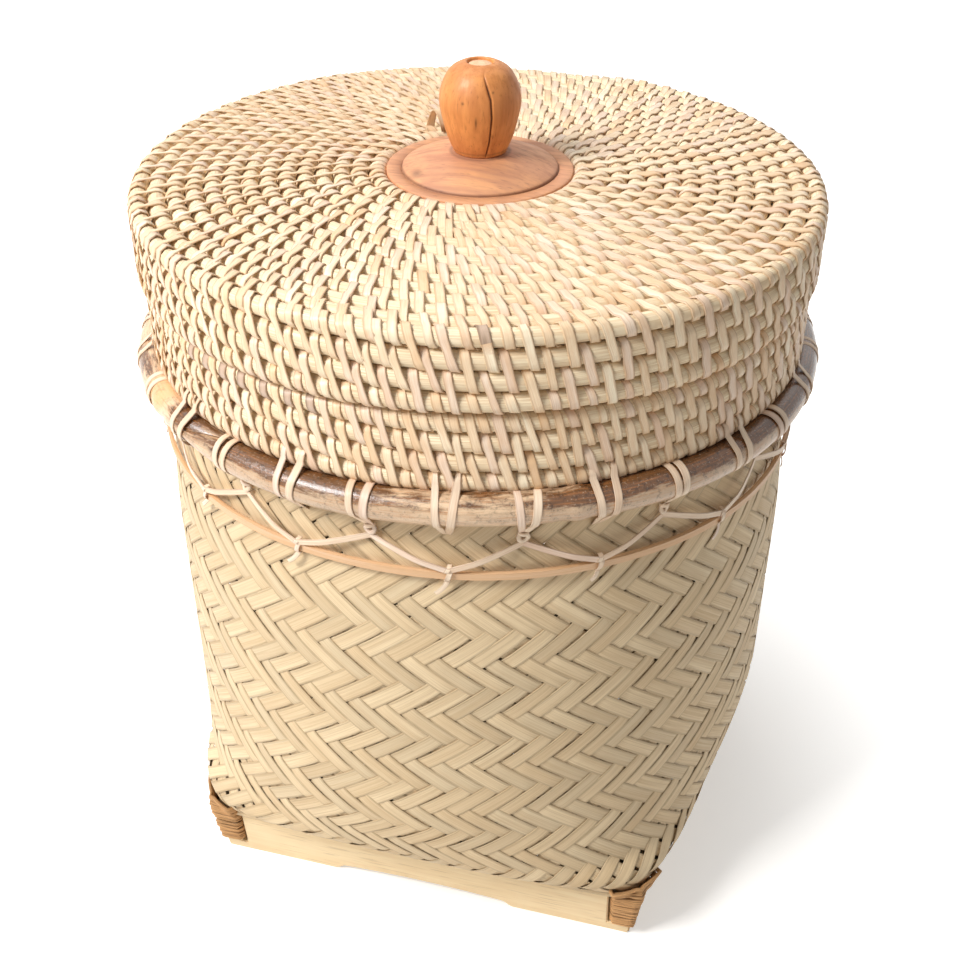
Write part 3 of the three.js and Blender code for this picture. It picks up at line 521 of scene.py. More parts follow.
def make_pole_finish(name):
    tint = colours()
    material, tree, shader = new_material(name)
    place = put(tree, "ShaderNodeTexCoord").outputs["Object"]
    worn = attribute(tree, "tone")
    around = reckon(tree, "ARCTAN2", attribute(tree, "across"), attribute(tree, "facing"))
    along = attribute(tree, "along")
    level = put(tree, "ShaderNodeSeparateXYZ", {"Vector": place}).outputs["Z"]
    height = reckon(tree, "DIVIDE", reckon(tree, "SUBTRACT", level, POLE_LEVEL), POLE_RADIUS)

    def bark_place(along_scale, around_scale, seed):
        return vector(tree, times(tree, along, along_scale), times(tree, around, around_scale), seed)

    blotch = reckon(tree, "SUBTRACT", noise(tree, bark_place(45.0, 1.6, 0.0), 1.0, 6.0, 0.7), 0.5)
    upper = spread(tree, reckon(tree, "MULTIPLY_ADD", blotch, 1.6, height), 0.2, 0.5, 0.3, 1.0)
    wear = reckon(tree, "MULTIPLY_ADD", blotch, 1.6, worn)
    brown = times(tree, upper, spread(tree, wear, 0.4, 0.75, 1.0, 0.0))
    base = blend(tree, brown, tint.pole_pale, tint.pole)
    streak = noise(tree, bark_place(60.0, 9.0, 3.0), 1.0, 5.0, 0.65)
    orange = [min(1.0, tint.pole[0] * 3.2), tint.pole[1] * 2.9, tint.pole[2] * 2.2, 1.0]
    base = blend(tree, spread(tree, streak, 0.48, 0.66, 0.0, 0.55), base, orange)
    mottle = noise(tree, place, 420.0, 5.0, 0.75)
    base = blend(tree, spread(tree, worn, 0.7, 1.0, 0.0, 0.7), base, tint.knuckle)
    dark_share = reckon(tree, "MULTIPLY_ADD", brown, 0.55, 0.3)
    dark = times(tree, spread(tree, mottle, 0.5, 0.66), dark_share)
    base = blend(tree, dark, base, darker(tint.pole, 0.3))
    crazing = noise(tree, bark_place(900.0, 6.0, 0.0), 1.0, 3.0, 0.7)
    pale = [0.74, 0.6, 0.44, 1.0]
    base = blend(tree, spread(tree, crazing, 0.56, 0.74, 0.0, 0.45), base, pale)
    tree.links.new(base, shader.inputs["Base Color"])
    tree.links.new(spread(tree, brown, 0.0, 1.0, 0.42, 0.24), shader.inputs["Roughness"])
    shader.inputs["Coat Weight"].default_value = 0.35
    shader.inputs["Coat Roughness"].default_value = 0.15
    bump(tree, shader, reckon(tree, "ADD", mottle, crazing), 0.4, 0.5 * MM)
    return material


def board_finish():
    tint = colours()
    return made_once("pale_board", lambda name: wood_material(
        name, tint.board, tint.board_dark, (0.05, 0.05, 1.0), 260.0, 0.6, 0.0, 0.45, 0.25))


def knob_finish():
    """Knob wood: upright grain, one drying crack's dark line and a few marks on the head."""
    tint = colours()
    return made_once("turned_knob_wood", lambda name: wood_material(
        name, tint.knob, tint.knob_dark, (1.0, 1.0, 0.12), 330.0, 0.46, 0.05, 0.5, 0.5, mark_share=0.14))


def disc_finish():
    tint = colours()
    return made_once("turned_disc_wood", lambda name: wood_material(
        name, tint.disc, tint.disc_dark, (0.12, 1.0, 1.0), 300.0, 0.5, 0.0, 0.55, 0.4, mark_share=0.3))


def peg_finish():
    tint = colours()
    return made_once("pale_peg_wood", lambda name: wood_material(
        name, tint.peg, tint.disc, (1.0, 1.0, 0.3), 700.0, 0.65, 0.0, 0.5, 0.3))


# Swept strips


def strip_tree():
    """Geometry Nodes tree that carries an oval section along guide lines, turned by their outward ways."""
    name = "Strip along guides"
    if name in bpy.data.node_groups:
        return bpy.data.node_groups[name]
    number = "NodeSocketFloat"
    tree, given, result = new_group(
        name, "GeometryNodeTree",
        [("Geometry", "NodeSocketGeometry", None), ("Half Width", number, 0.002),
         ("Half Thickness", number, 0.0005), ("Sides", "NodeSocketInt", 8),
         ("Section Turn", number, math.pi / 8), ("Crown", number, 1.0),
         ("Crisp Edges", "NodeSocketBool", False), ("Material", "NodeSocketMaterial", None)],
        [("Geometry", "NodeSocketGeometry")],
    )

    def step(kind, inputs, output="Geometry", **settings):
        return put(tree, kind, inputs, **settings).outputs[output]

    named = "GeometryNodeInputNamedAttribute"
    outward = step(named, {"Name": "outward"}, "Attribute", data_type="FLOAT_VECTOR")
    girth = step(named, {"Name": "girth"}, "Attribute", data_type="FLOAT")
    guide = step("GeometryNodeMeshToCurve", {"Mesh": given.outputs["Geometry"]}, "Curve")
    guide = step("GeometryNodeSetCurveNormal", {"Curve": guide, "Normal": outward}, "Curve", mode="FREE")
    circle = {"Resolution": given.outputs["Sides"], "Radius": 1.0}
    section = step("GeometryNodeCurvePrimitiveCircle", circle, "Curve")
    turn = vector(tree, 0.0, 0.0, given.outputs["Section Turn"])
    section = step("GeometryNodeTransform", {"Geometry": section, "Rotation": turn})
    place = step("GeometryNodeInputPosition", {}, "Position")
    parts = put(tree, "ShaderNodeSeparateXYZ", {"Vector": place})
    widened = reckon(tree, "POWER", reckon(tree, "ABSOLUTE", parts.outputs["Y"]), given.outputs["Crown"])
    widened = times(tree, widened, reckon(tree, "SIGN", parts.outputs["Y"]))
    flatter = vector(tree, parts.outputs["X"], widened, 0.0)
    section = step("GeometryNodeSetPosition", {"Geometry": section, "Position": flatter})
    for label, socket in (("across", "Y"), ("facing", "X")):
        stored = {"Geometry": section, "Name": label, "Value": parts.outputs[socket]}
        section = step("GeometryNodeStoreNamedAttribute", stored, data_type="FLOAT", domain="POINT")
    size = vector(tree, given.outputs["Half Thickness"], given.outputs["Half Width"], 1.0)
    section = step("GeometryNodeTransform", {"Geometry": section, "Scale": size})
    creased = step("GeometryNodeCurveSplineType", {"Curve": section}, "Curve", spline_type="BEZIER")
    creased = step("GeometryNodeCurveSetHandles", {"Curve": creased}, "Curve", handle_type="VECTOR")
    either = {"Switch": given.outputs["Crisp Edges"], "False": section, "True": creased}
    section = step("GeometryNodeSwitch", either, "Output", input_type="GEOMETRY")
    strip = step("GeometryNodeCurveToMesh", {
        "Curve": guide, "Profile Curve": section, "Scale": girth, "Fill Caps": True}, "Mesh")
    strip = step("GeometryNodeSetShadeSmooth", {"Geometry": strip, "Shade Smooth": True})
    strip = step("GeometryNodeRealizeInstances", {"Geometry": strip})
    strip = step("GeometryNodeSetMaterial", {"Geometry": strip, "Material": given.outputs["Material"]})
    tree.links.new(strip, result.inputs["Geometry"])
    return tree


class Guides:
    """Guide lines for swept strips, each with its outward ways, tone and girth."""

    def __init__(self):
        self.points = []
        self.outward = []
        self.along = []
        self.tone = []
        self.girth = []
        self.edges = []
        self.count = 0

    def add(self, points, outward, tone=0.5, girth=1.0, closed=False):
        points = np.asarray(points, float)
        amount = len(points)
        self.points.append(points)
        self.outward.append(np.broadcast_to(np.asarray(outward, float), points.shape))
        self.along.append(walked_lengths(points))
        self.tone.append(np.broadcast_to(np.asarray(tone, float), amount))
        self.girth.append(np.broadcast_to(np.asarray(girth, float), amount))
        first = self.count
        self.edges += [(first + i, first + i + 1) for i in range(amount - 1)]
        if closed:
            self.edges.append((first + amount - 1, first))
        self.count += amount

    def mesh(self, name):
        mesh = bpy.data.meshes.new(name)
        mesh.from_pydata(np.concatenate(self.points).tolist(), self.edges, [])
        values = {"along": self.along, "tone": self.tone, "girth": self.girth}
        for label, parts in values.items():
            layer = mesh.attributes.new(label, "FLOAT", "POINT")
            layer.data.foreach_set("value", np.concatenate(parts))
        layer = mesh.attributes.new("outward", "FLOAT_VECTOR", "POINT")
        layer.data.foreach_set("vector", np.concatenate(self.outward).ravel())
        return mesh


def set_inputs(modifier, values):
    """Sets a Geometry Nodes modifier's inputs by the identifiers of their sockets."""
    for item in modifier.node_group.interface.items_tree:
        if item.item_type == "SOCKET" and item.in_out == "INPUT" and item.name in values:
            modifier[item.identifier] = values[item.name]


def evaluated_mesh(source, name):
    """The mesh that an object's modifiers give, as a plain mesh."""
    depsgraph = bpy.context.evaluated_depsgraph_get()
    mesh = bpy.data.meshes.new_from_object(
        source.evaluated_get(depsgraph), preserve_all_data_layers=True, depsgraph=depsgraph)
    mesh.name = name
    return mesh


def swept(name, guides, width, thickness, material, sides=8, flat=False):
    """A plain object made of strips along guide lines; flat ones have crisp edges and hardly any crown."""
    source = bpy.data.objects.new(f"{name}_guides", guides.mesh(f"{name}_guides"))
    bpy.context.scene.collection.objects.link(source)
    modifier = source.modifiers.new("strips", "NODES")
    modifier.node_group = strip_tree()
    set_inputs(modifier, {"Half Width": width / 2, "Half Thickness": thickness / 2, "Sides": sides,
                          "Section Turn": math.pi / sides, "Crown": 0.2 if flat else 1.0, "Crisp Edges": flat,
                          "Material": material})
    bpy.context.view_layer.update()
    mesh = evaluated_mesh(source, name)
    bpy.data.objects.remove(source, do_unlink=True)
    if not mesh.polygons:
        raise RuntimeError(f"{name} came out empty")
    mesh.materials.clear()
    mesh.materials.append(material)
    return link(name, mesh)


def flat_strips(name, guides, width, thickness, material):
    return swept(name, guides, width, thickness, material, sides=6, flat=True)


def wound_core(name, guides, tall=1.0):
    """A coil's core along its guides, its height a share of its thickness."""
    thick = sizes().core * 2
    return swept(name, guides, thick * tall, thick, core_finish(), sides=12)


def link(name, mesh):
    piece = bpy.data.objects.new(name, mesh)
    bpy.context.scene.collection.objects.link(piece)
    return piece


def settle(piece, body, slot, *nodes):
    """Puts a piece on its body and hides the nodes that it stands for; its slot is not used."""
    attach(piece, body)
    if nodes:
        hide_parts(*nodes)


def mesh_piece(name, points, faces, material, values=None, smooth=True):
    """A plain object from points and faces, with float attributes."""
    mesh = bpy.data.meshes.new(name)
    mesh.from_pydata([tuple(point) for point in points], [], faces)
    for label, numbers in (values or {}).items():
        layer = mesh.attributes.new(label, "FLOAT", "POINT")
        layer.data.foreach_set("value", np.asarray(numbers, float))
    mesh.materials.append(material)
    mesh.polygons.foreach_set("use_smooth", [smooth] * len(mesh.polygons))
    return link(name, mesh)


# Coil rows


def shift_angle(turn):
    share = (turn - np.floor(turn) - (1 - SHIFT_SHARE)) / SHIFT_SHARE
    return np.maximum(0, share) * math.pi / 2


def rows_out(turn):
    return np.floor(turn) + 1 - np.cos(shift_angle(turn))


def rows_down(turn):
    return np.floor(turn) + np.sin(shift_angle(turn))


def lid_row(turn):
    """Radius and level of the lid's core at a turn, top rows first, then the edge row and the side."""
    if turn < EDGE_TURN:
        radius = FIRST_ROW_RADIUS + TOP_PITCH * rows_out(turn)
        return radius, LID_EDGE_ROW + LID_DOME * (1 - (radius / LID_RADIUS) ** 2)
    return LID_RADIUS, LID_EDGE_ROW - SIDE_PITCH * rows_down(turn - EDGE_TURN)


def collar_row(turn):
    return COLLAR_RADIUS, COLLAR_TOP_ROW - SIDE_PITCH * rows_down(turn)


def azimuth_at(turn):
    return SHIFT_AZIMUTH + turn * 2 * math.pi


def start_guides(guides, row, outwards):
    """Adds the flat-topped wedge that fills the step where a coil's first row leaves its start."""
    places = np.arange(1 - SHIFT_SHARE * 0.7, 1.01, CORE_STEP)
    azimuths = azimuth_at(places)
    opened = np.sin(shift_angle(np.minimum(places, 0.9999)))
    radius, top = row(0)
    points = polar(radius, azimuths, top + HALF_PITCH * (1 - opened))
    ways = [outwards(azimuth) for azimuth in azimuths]
    guides.add(points, ways, tone=CORE_TONE, girth=np.maximum(opened, THINNEST_CORE))


def core_guides(row, begin, end, outwards):
    """The core wound from one turn to another, thinner where it starts and where it ends."""
    guides = Guides()
    places = np.arange(begin, end, CORE_STEP)
    azimuths = azimuth_at(places)
    radii, levels = np.array([row(turn) for turn in places]).T
    points = polar(radii, azimuths, levels)
    ways = [outwards(azimuth) for azimuth in azimuths]
    girth = np.ones(len(places))
    if begin == 0:
        girth = np.minimum(girth, places / SHIFT_SHARE + 0.3)
    if end % 1 > 0.5:
        closing = np.where(places > math.floor(end) + LAST_ROW_SHARE, np.sin(shift_angle(places)), 0)
        points[:, 2] += HALF_PITCH * closing
        girth = np.minimum(girth, np.maximum(1 - closing, THINNEST_CORE))
    guides.add(points, ways, tone=CORE_TONE, girth=girth)
    return guides


def upwards(azimuth):
    return 0, 0, 1


def sideways(azimuth):
    return math.cos(azimuth), math.sin(azimuth), 0


def stitch_azimuths(rows, spacing, spread_out, seed):
    """Shares of a turn for each generation of stitches, near the middles of the one before.

    They stand further apart by spread_out where the rows reach their full radius.
    """
    random = np.random.default_rng(seed)
    result = []
    previous = None
    for radius in rows:
        apart = spacing * (1 + spread_out * (radius - rows[0]) / max(rows[-1] - rows[0], 1 * MM))
        amount = int(round(2 * math.pi * radius / apart))
        if previous is None:
            shares = (np.arange(amount) + 0.5) / amount
        else:
            shares = (previous + np.append(previous[1:], previous[0] + 1)) / 2
            extra = amount - len(shares)
            if extra > 0:
                picks = (np.arange(extra) + random.uniform(0.2, 0.8, extra)) * len(shares) / extra
                picks = np.unique(picks.astype(int))
                following = np.append(shares[1:], shares[0] + 1)
                shares = np.sort(np.concatenate([shares, (shares[picks] + following[picks]) / 2]))
                for _ in range(5):
                    before = np.append(shares[-1] - 1, shares[:-1])
                    after = np.append(shares[1:], shares[0] + 1)
                    shares = shares * 0.5 + (before + after) * 0.25
        previous = shares
        result.append(shares)
    return result


def stitch_path(before, first, second, after, reach, tall):
    """Path in radius and level of a strip pulled tight over one or two cores, diving into the gaps."""
    squash = np.array([1, 1 / tall])
    before, first, second, after = (np.array(place) * squash for place in (before, first, second, after))
    back = before - first
    ahead = after - second
    way = second - first
    single = np.linalg.norm(way) < 1e-6
    start = math.atan2(back[1], back[0])
    end = math.atan2(ahead[1], ahead[0])
    while start < end:
        start += 2 * math.pi
    if single:
        middle = (start + end) / 2
    else:
        middle = math.atan2(way[1], way[0]) + math.pi / 2
    while middle > start:
        middle -= 2 * math.pi
    while middle < end - 0.2:
        middle += 2 * math.pi
    dive = math.radians(6)
    sag = 0.35 * MM

    def skin(centre, angle, distance=reach):
        return centre + distance * np.array([math.cos(angle), math.sin(angle)])

    path = [skin(first, start + dive, reach * TUCKED_REACH)]
    path += [skin(first, angle) for angle in np.linspace(start + dive, middle, 5)]
    if not single:
        path.append(skin((first + second) / 2, middle, reach - sag))
    angles = np.linspace(middle, end - dive, 5)
    path += [skin(second, angle) for angle in (angles[1:] if single else angles)]
    path.append(skin(second, end - dive, reach * TUCKED_REACH))
    return np.array(path) / squash


def lay_stitch(guides, path, first, second, azimuth, shifts, tone, girth):
    """Adds one strip whose path in radius and level is moved along the row by shifts."""
    angles = azimuth + shifts / path[:, 0]
    points = polar(path[:, 0], angles, path[:, 1])
    centres = np.where(np.arange(len(path))[:, None] < len(path) / 2, first, second)
    outward = path - centres
    ways = unit(polar(outward[:, 0], angles, outward[:, 1]))
    taper = np.interp(np.linspace(-1, 1, len(path)), [-1, -0.8, 0.8, 1], [0.7, 1, 1, 0.7])
    guides.add(points, ways, tone=tone, girth=taper * girth)


def stitch_guides(row, turns, spacing, seed, before_first, after_last, tone_at):
    """All stitches of a coil, outside and inside: each spans two rows, the first and last ones only one."""
    size = sizes()
    random = np.random.default_rng(seed)
    reach = size.core + size.stitch_thickness * 0.5
    generations = range(-1, turns)
    radii = [row(max(min(k + 1, turns - 1), 0) + 0.4)[0] for k in generations]
    outside, inside = Guides(), Guides()
    mirror = np.array([-1, 1])
    drift = 0.0
    for generation, shares, radius in zip(generations, stitch_azimuths(radii, spacing, 0.2, seed), radii):
        drift += size.stitch_drift / (2 * math.pi * radius)
        for share in shares:
            wrapped = (share + drift) % 1.0
            last = turns - 2 if wrapped > LAST_ROW_SHARE else turns - 1
            if generation > last:
                continue
            near = range(generation - 1, generation + 3)
            rows = [row(turn + wrapped) if 0 <= turn <= last else None for turn in near]
            first, second = rows[1] or rows[2], rows[2] or rows[1]
            back = rows[0] if rows[0] and rows[1] else before_first(first)
            ahead = rows[3] if rows[3] and rows[2] else after_last(second)
            stacked = second is not first and abs(second[0] - first[0]) < 1e-6
            upright = stacked or abs(back[0] - ahead[0]) < 2 * MM
            tall = size.core_tall if upright else 1.0
            if generation == -1 and wrapped > LAST_ROW_SHARE:
                opened = float(np.sin(shift_angle(wrapped)))
                first = second = (first[0], first[1] + HALF_PITCH * opened)
                tall *= 1 + opened * WEDGE_STRETCH
            if generation == turns - 2 and last == generation:
                left = 1 - float(np.sin(shift_angle(wrapped)))
                first = second = (first[0], first[1] - HALF_PITCH * left)
                tall *= 1 + left * WEDGE_STRETCH
            path = stitch_path(back, first, second, ahead, reach, tall)
            walked = walked_lengths(path)
            slant = size.stitch_slant * random.uniform(0.7, 1.3) * walked[-1] / (16 * MM)
            shifts = (walked / walked[-1] - 0.5) * slant + random.normal(0, 0.35 * MM)
            azimuth = azimuth_at(wrapped)
            tone = tone_at(generation, azimuth, random)
            if isinstance(tone, tuple):
                tone = np.where(np.arange(len(path)) < len(path) * 0.42, *tone)
            lay_stitch(outside, path, first, second, azimuth, shifts, tone, random.uniform(0.84, 1.1))
            mirrored = [np.array(place) * mirror for place in (back, first, second, ahead)]
            path = (stitch_path(*mirrored, reach, tall) * mirror)[::2]
            shifts = slant * 0.5 + np.linspace(1, 0, len(path)) * (spacing - slant)
            lay_stitch(inside, path, first, second, azimuth, shifts, random.beta(1.8, 2.4) * 0.97, 0.95)
    return outside, inside


# Woven wall


def through(stations, place):
    """Curve through [place, value] stations that never swings past them."""
    xs = np.array([x for x, _ in stations])
    ys = np.array([y for _, y in stations])
    slopes = np.diff(ys) / np.diff(xs)
    tangents = np.zeros(len(xs))
    tangents[0], tangents[-1] = slopes[0], slopes[-1]
    for i in range(1, len(xs) - 1):
        product = slopes[i - 1] * slopes[i]
        tangents[i] = 0 if product <= 0 else 2 * product / (slopes[i - 1] + slopes[i])
    place = np.asarray(place, float)
    i = np.clip(np.searchsorted(xs, place, side="left") - 1, 0, len(xs) - 2)
    run = xs[i + 1] - xs[i]
    s = (place - xs[i]) / run
    eased = s * s * (3 - 2 * s)
    bend = run * s * (1 - s) * (tangents[i] * (1 - s) - tangents[i + 1] * s)
    return ys[i] + (ys[i + 1] - ys[i]) * eased + bend


def wall_share(level):
    return (level - WEAVE_FLOOR) / (WEAVE_TOP - WEAVE_FLOOR)


def weave_half(level):
    """Half of the wall's width at a level."""
    shoulder = WEAVE_FOOT + (BELLY_RADIUS - WEAVE_FOOT) * 0.72
    stations = [(0, WEAVE_FOOT), (0.116, shoulder), (0.311, BELLY_RADIUS), (0.634, BELLY_RADIUS),
                (1, NECK_RADIUS)]
    return through(stations, wall_share(level))


def weave_roundness(level):
    """How round the wall is at a level, from 0 for a square to 1 for a circle."""
    stations = [(0, 0.08), (0.067, 0.42), (0.116, 0.74), (0.311, 1), (1, 1)]
    return through(stations, wall_share(level))


def outline_radius(half, roundness, angle):
    power = 2 / roundness
    return half / (np.abs(np.cos(angle)) ** power + np.abs(np.sin(angle)) ** power) ** (1 / power)


class WallMap:
    """Places on the woven wall by share of the way round and level."""

    def __init__(self, inset):
        self.levels = np.linspace(WEAVE_FLOOR, WEAVE_TOP, 125)
        angles = np.linspace(0, 2 * math.pi, 721)
        self.shares = np.linspace(0, 1, 481)
        grid = []
        for level in self.levels:
            half = weave_half(level) - inset
            radii = outline_radius(half, weave_roundness(level), angles)
            outline = np.stack([radii * np.cos(angles), radii * np.sin(angles)], axis=1)
            walked = walked_lengths(outline)
            walked /= walked[-1]
            row = [np.interp(self.shares, walked, outline[:, axis]) for axis in (0, 1)]
            grid.append(np.stack(row, axis=1))
        self.grid = np.array(grid)

    def at(self, share, level):
        """Points for arrays of shares and levels."""
        spacing = self.levels[1] - self.levels[0]
        row = np.clip((level - self.levels[0]) / spacing, 0, len(self.levels) - 1.001)
        column = (share % 1.0) * (len(self.shares) - 1)
        i, j = row.astype(int), np.minimum(column.astype(int), len(self.shares) - 2)
        a, b = (row - i)[:, None], (column - j)[:, None]
        low = self.grid[i, j] * (1 - b) + self.grid[i, j + 1] * b
        high = self.grid[i + 1, j] * (1 - b) + self.grid[i + 1, j + 1] * b
        flat = low * (1 - a) + high * a
        return np.column_stack([flat, level])

    def outward(self, share, level):
        step = 1.5 * MM
        low = np.clip(level - step, WEAVE_FLOOR, WEAVE_TOP)
        high = np.clip(level + step, WEAVE_FLOOR, WEAVE_TOP)
        up = self.at(share, high) - self.at(share, low)
        round_way = self.at(share + 0.002, level) - self.at(share - 0.002, level)
        return unit(np.cross(round_way, up))


def over_and_under(crossings):
    """1 where a rising strip lies over three others, -1 where it lies under the next three."""
    return np.clip(2.8 * np.cos(2 * math.pi * (crossings - 1) / 6), -1, 1)


def wall_guides(rising):
    """Strips of one direction of the woven wall."""
    size = sizes()
    thickness = size.ribbon_thickness
    wall = WallMap(1.3 * MM)
    random = np.random.default_rng(31 if rising else 47)
    lean = -1 if rising else 1
    half_cell = size.cell_height / 2
    levels = np.linspace(WEAVE_FLOOR + 0.6 * MM, WEAVE_TOP, 150)
    crossings = (levels - WEAVE_FLOOR) / half_cell
    lift = over_and_under(crossings) * (1 if rising else -1)
    flatten = np.clip((levels - WEAVE_FLOOR) / (9 * MM), 0.15, 1)
    narrow = np.clip((weave_half(levels) - thickness) / BELLY_RADIUS, 0.9, 1)
    guides = Guides()
    for k in range(size.ribbon_count):
        wander = random.normal(0, 0.035)
        share = (k + lean * crossings / 2 + wander) / size.ribbon_count
        sway = 0.05 * np.sin(crossings * random.uniform(0.15, 0.4) + random.uniform(0, 6.3))
        share = share + sway / size.ribbon_count
        ways = wall.outward(share, levels)
        points = wall.at(share, levels) + ways * (lift * flatten * thickness * 0.75)[:, None]
        tone = random.beta(2.0, 2.6)
        guides.add(points, ways, tone=tone, girth=random.uniform(0.92, 1.03) * narrow)
    return guides


def floor_guides(rising):
    """Strips of one direction of the woven floor, laid across the corners."""
    size = sizes()
    random = np.random.default_rng(71 if rising else 73)
    pitch = size.ribbon_width + 0.6 * MM
    limit = WEAVE_FOOT - 1.6 * MM
    way = np.array([1, 1 if rising else -1]) / math.sqrt(2)
    side = np.array([-way[1], way[0]])
    reach = int(limit * math.sqrt(2) / pitch)
    guides = Guides()
    for k in range(-reach, reach + 1):
        middle = side * k * pitch
        ends = [(sign * limit - middle[axis]) / way[axis] for axis in (0, 1) for sign in (-1, 1)]
        low, high = sorted(ends)[1:3]
        if high - low < 6 * MM:
            continue
        steps = np.linspace(low, high, max(4, int((high - low) / (pitch / 2))))
        flat = middle + steps[:, None] * way
        other = steps / pitch
        lift = over_and_under((k if rising else -k) + (other if rising else -other)) * (1 if rising else -1)
        levels = WEAVE_FLOOR + 1.3 * MM + lift * size.ribbon_thickness * 0.8
        points = np.column_stack([flat, levels])
        guides.add(points, (0, 0, 1), tone=float(random.beta(2.0, 2.6)), girth=0.97)
    return guides


# Rim


def over_pole(knotted, over):
    """Radius, level and outward way of a strap: knotted ones start on the pole, the others in the collar."""
    last_angle = -58 if knotted else -62
    if knotted:
        angles = np.radians(np.linspace(112, last_angle, 13))
        flat, ways = [], []
    else:
        row = (COLLAR_RADIUS, COLLAR_TOP_ROW - (COLLAR_ROWS - 1) * SIDE_PITCH)
        reach = sizes().core + 1.5 * sizes().stitch_thickness
        arc = np.radians((84, 60, 36, 14, -2))
        flat = [(row[0] + reach * math.cos(a), row[1] + 1.05 * reach * math.sin(a)) for a in arc]
        ways = [(math.cos(a), math.sin(a)) for a in arc]
        angles = np.radians(np.linspace(40, last_angle, 9))
    flat += [(POLE_RING + over * math.cos(a), POLE_LEVEL + over * math.sin(a)) for a in angles]
    ways += [(math.cos(a), math.sin(a)) for a in angles]
    return flat, ways


def strap_guides(knotted):
    """Two turns over the pole that draw together below it, at every second place round the rim."""
    size = sizes()
    over = POLE_RADIUS + size.strap_thickness * 0.6
    end_level = KNOT_LEVEL + 1.5 * MM if knotted else PLAIN_LEVEL
    random = np.random.default_rng(5 if knotted else 6)
    guides = Guides()
    for pair in range(PAIRS):
        azimuth = FIRST_KNOT + (pair + (0 if knotted else 0.5)) * PAIR_STEP
        twist = random.normal(0, 1.2 * MM)
        spread_half = random.uniform(2.2, 4.2) * MM if knotted else random.uniform(4.0, 5.6) * MM
        for side in (-1, 1):
            flat, ways = over_pole(knotted, over)
            wall = float(weave_half(end_level))
            stand_off = 1.2 * MM if knotted else 0.1 * MM
            last = (wall + stand_off, end_level)
            between = ((flat[-1][0] + last[0]) / 2, (flat[-1][1] + last[1]) / 2)
            flat += [between, last]
            ways += [(1, 0.1), (1, 0.1)]
            if not knotted:
                flat.append((wall - 2.5 * MM, end_level - 2.5 * MM))
                ways.append((1, 0.4))
            flat, ways = np.array(flat), np.array(ways)
            walked = walked_lengths(flat)
            share = walked / walked[-1]
            wide = spread_half * random.uniform(0.9, 1.1)
            drawn = np.clip(share / 0.9, 0, 1) ** 1.5
            shift = side * (wide * (1 - drawn) + 0.9 * MM * drawn) + twist * (1 - share)
            around = azimuth + shift / flat[:, 0]
            points = polar(flat[:, 0], around, flat[:, 1])
            out = unit(polar(ways[:, 0], around, ways[:, 1]))
            taper = np.interp(share, [0, 0.18, 0.75, 1], [1 if knotted else 0.55, 1, 1, 0.62])
            guides.add(points, out, tone=float(random.beta(2, 3)), girth=taper * random.uniform(0.9, 1.08))
    return guides


def knot_guides():
    """The small loop that closes each knotted pair, with a wrap over its top."""
    random = np.random.default_rng(9)
    guides = Guides()
    radius = float(weave_half(KNOT_LEVEL)) + 1.6 * MM
    turns = np.arange(14) * 2 * math.pi / 14
    for pair in range(PAIRS):
        azimuth = FIRST_KNOT + pair * PAIR_STEP
        wide, tall = random.uniform(1.5, 1.9, 2) * MM
        way = sideways(azimuth)
        angles = azimuth + wide * np.cos(turns) / radius
        radii = radius + 0.5 * MM * np.sin(turns * 2 + random.uniform(0, 6))
        levels = KNOT_LEVEL + tall * np.sin(turns)
        guides.add(polar(radii, angles, levels), way, tone=random.uniform(0, 0.3), closed=True)
        places = np.linspace(-1, 1, 7)
        angles = azimuth + places * 2.2 * MM / radius
        radii = radius + 1.3 * MM - 1.4 * MM * places ** 2
        levels = KNOT_LEVEL + 2.0 * MM + places * random.uniform(-1, 1) * MM
        guides.add(polar(radii, angles, levels), way, tone=random.uniform(0, 0.3), girth=0.85)
    return guides


def lace_guides():
    """The lace from knot to hoop and up again, with a tie and a short tail at each low place."""
    random = np.random.default_rng(14)
    guides = Guides()
    hoop_out = HOOP_HIGH.x + 0.5 * MM
    peak = KNOT_LEVEL - 3.2 * MM
    peak_radius = float(weave_half(peak)) + 0.9 * MM
    for pair in range(PAIRS):
        start = FIRST_KNOT + pair * PAIR_STEP
        low = start + PAIR_STEP * 0.5 + random.normal(0, 0.01)
        for begin, finish in ((start, low), (start + PAIR_STEP, low)):
            share = np.linspace(0, 1, 10)
            angles = begin + (finish - begin) * share
            radii = peak_radius + (hoop_out - peak_radius) * np.clip(share * 1.6, 0, 1)
            levels = peak + (HOOP_LEVEL + 3.2 * MM - peak) * share
            guides.add(polar(radii, angles, levels), polar(1, angles, 0), tone=random.beta(2, 3))
        around = np.radians(np.linspace(-100, 100, 9))
        deep = 1.8 * MM
        for offset, middle, tall in ((0.3 * MM, 0.6 * MM, 3.0 * MM), (-0.2 * MM, 3.3 * MM, 1.5 * MM)):
            radii = hoop_out - deep + (deep + 0.5 * MM) * np.cos(around)
            levels = HOOP_LEVEL + middle + tall * np.sin(around)
            angles = low + (offset + 0.9 * MM * np.sin(around)) / hoop_out
            ways = polar(np.cos(around), low, np.sin(around))
            guides.add(polar(radii, angles, levels), ways, tone=random.uniform(0, 0.4), girth=0.8)
        share = np.linspace(0, 1, 6)
        tail = random.uniform(4, 7) * MM
        angles = low - (share * 0.3 + share ** 2 * 0.5) * tail / hoop_out
        radii = hoop_out - 1.5 * MM + 1.6 * MM * np.sin(share * math.pi * 0.6)
        levels = HOOP_LEVEL - 2.0 * MM - share * tail
        points = polar(radii, angles, levels)
        guides.add(points, sideways(low), tone=random.uniform(0, 0.3), girth=0.8 - 0.1 * share)
    return guides


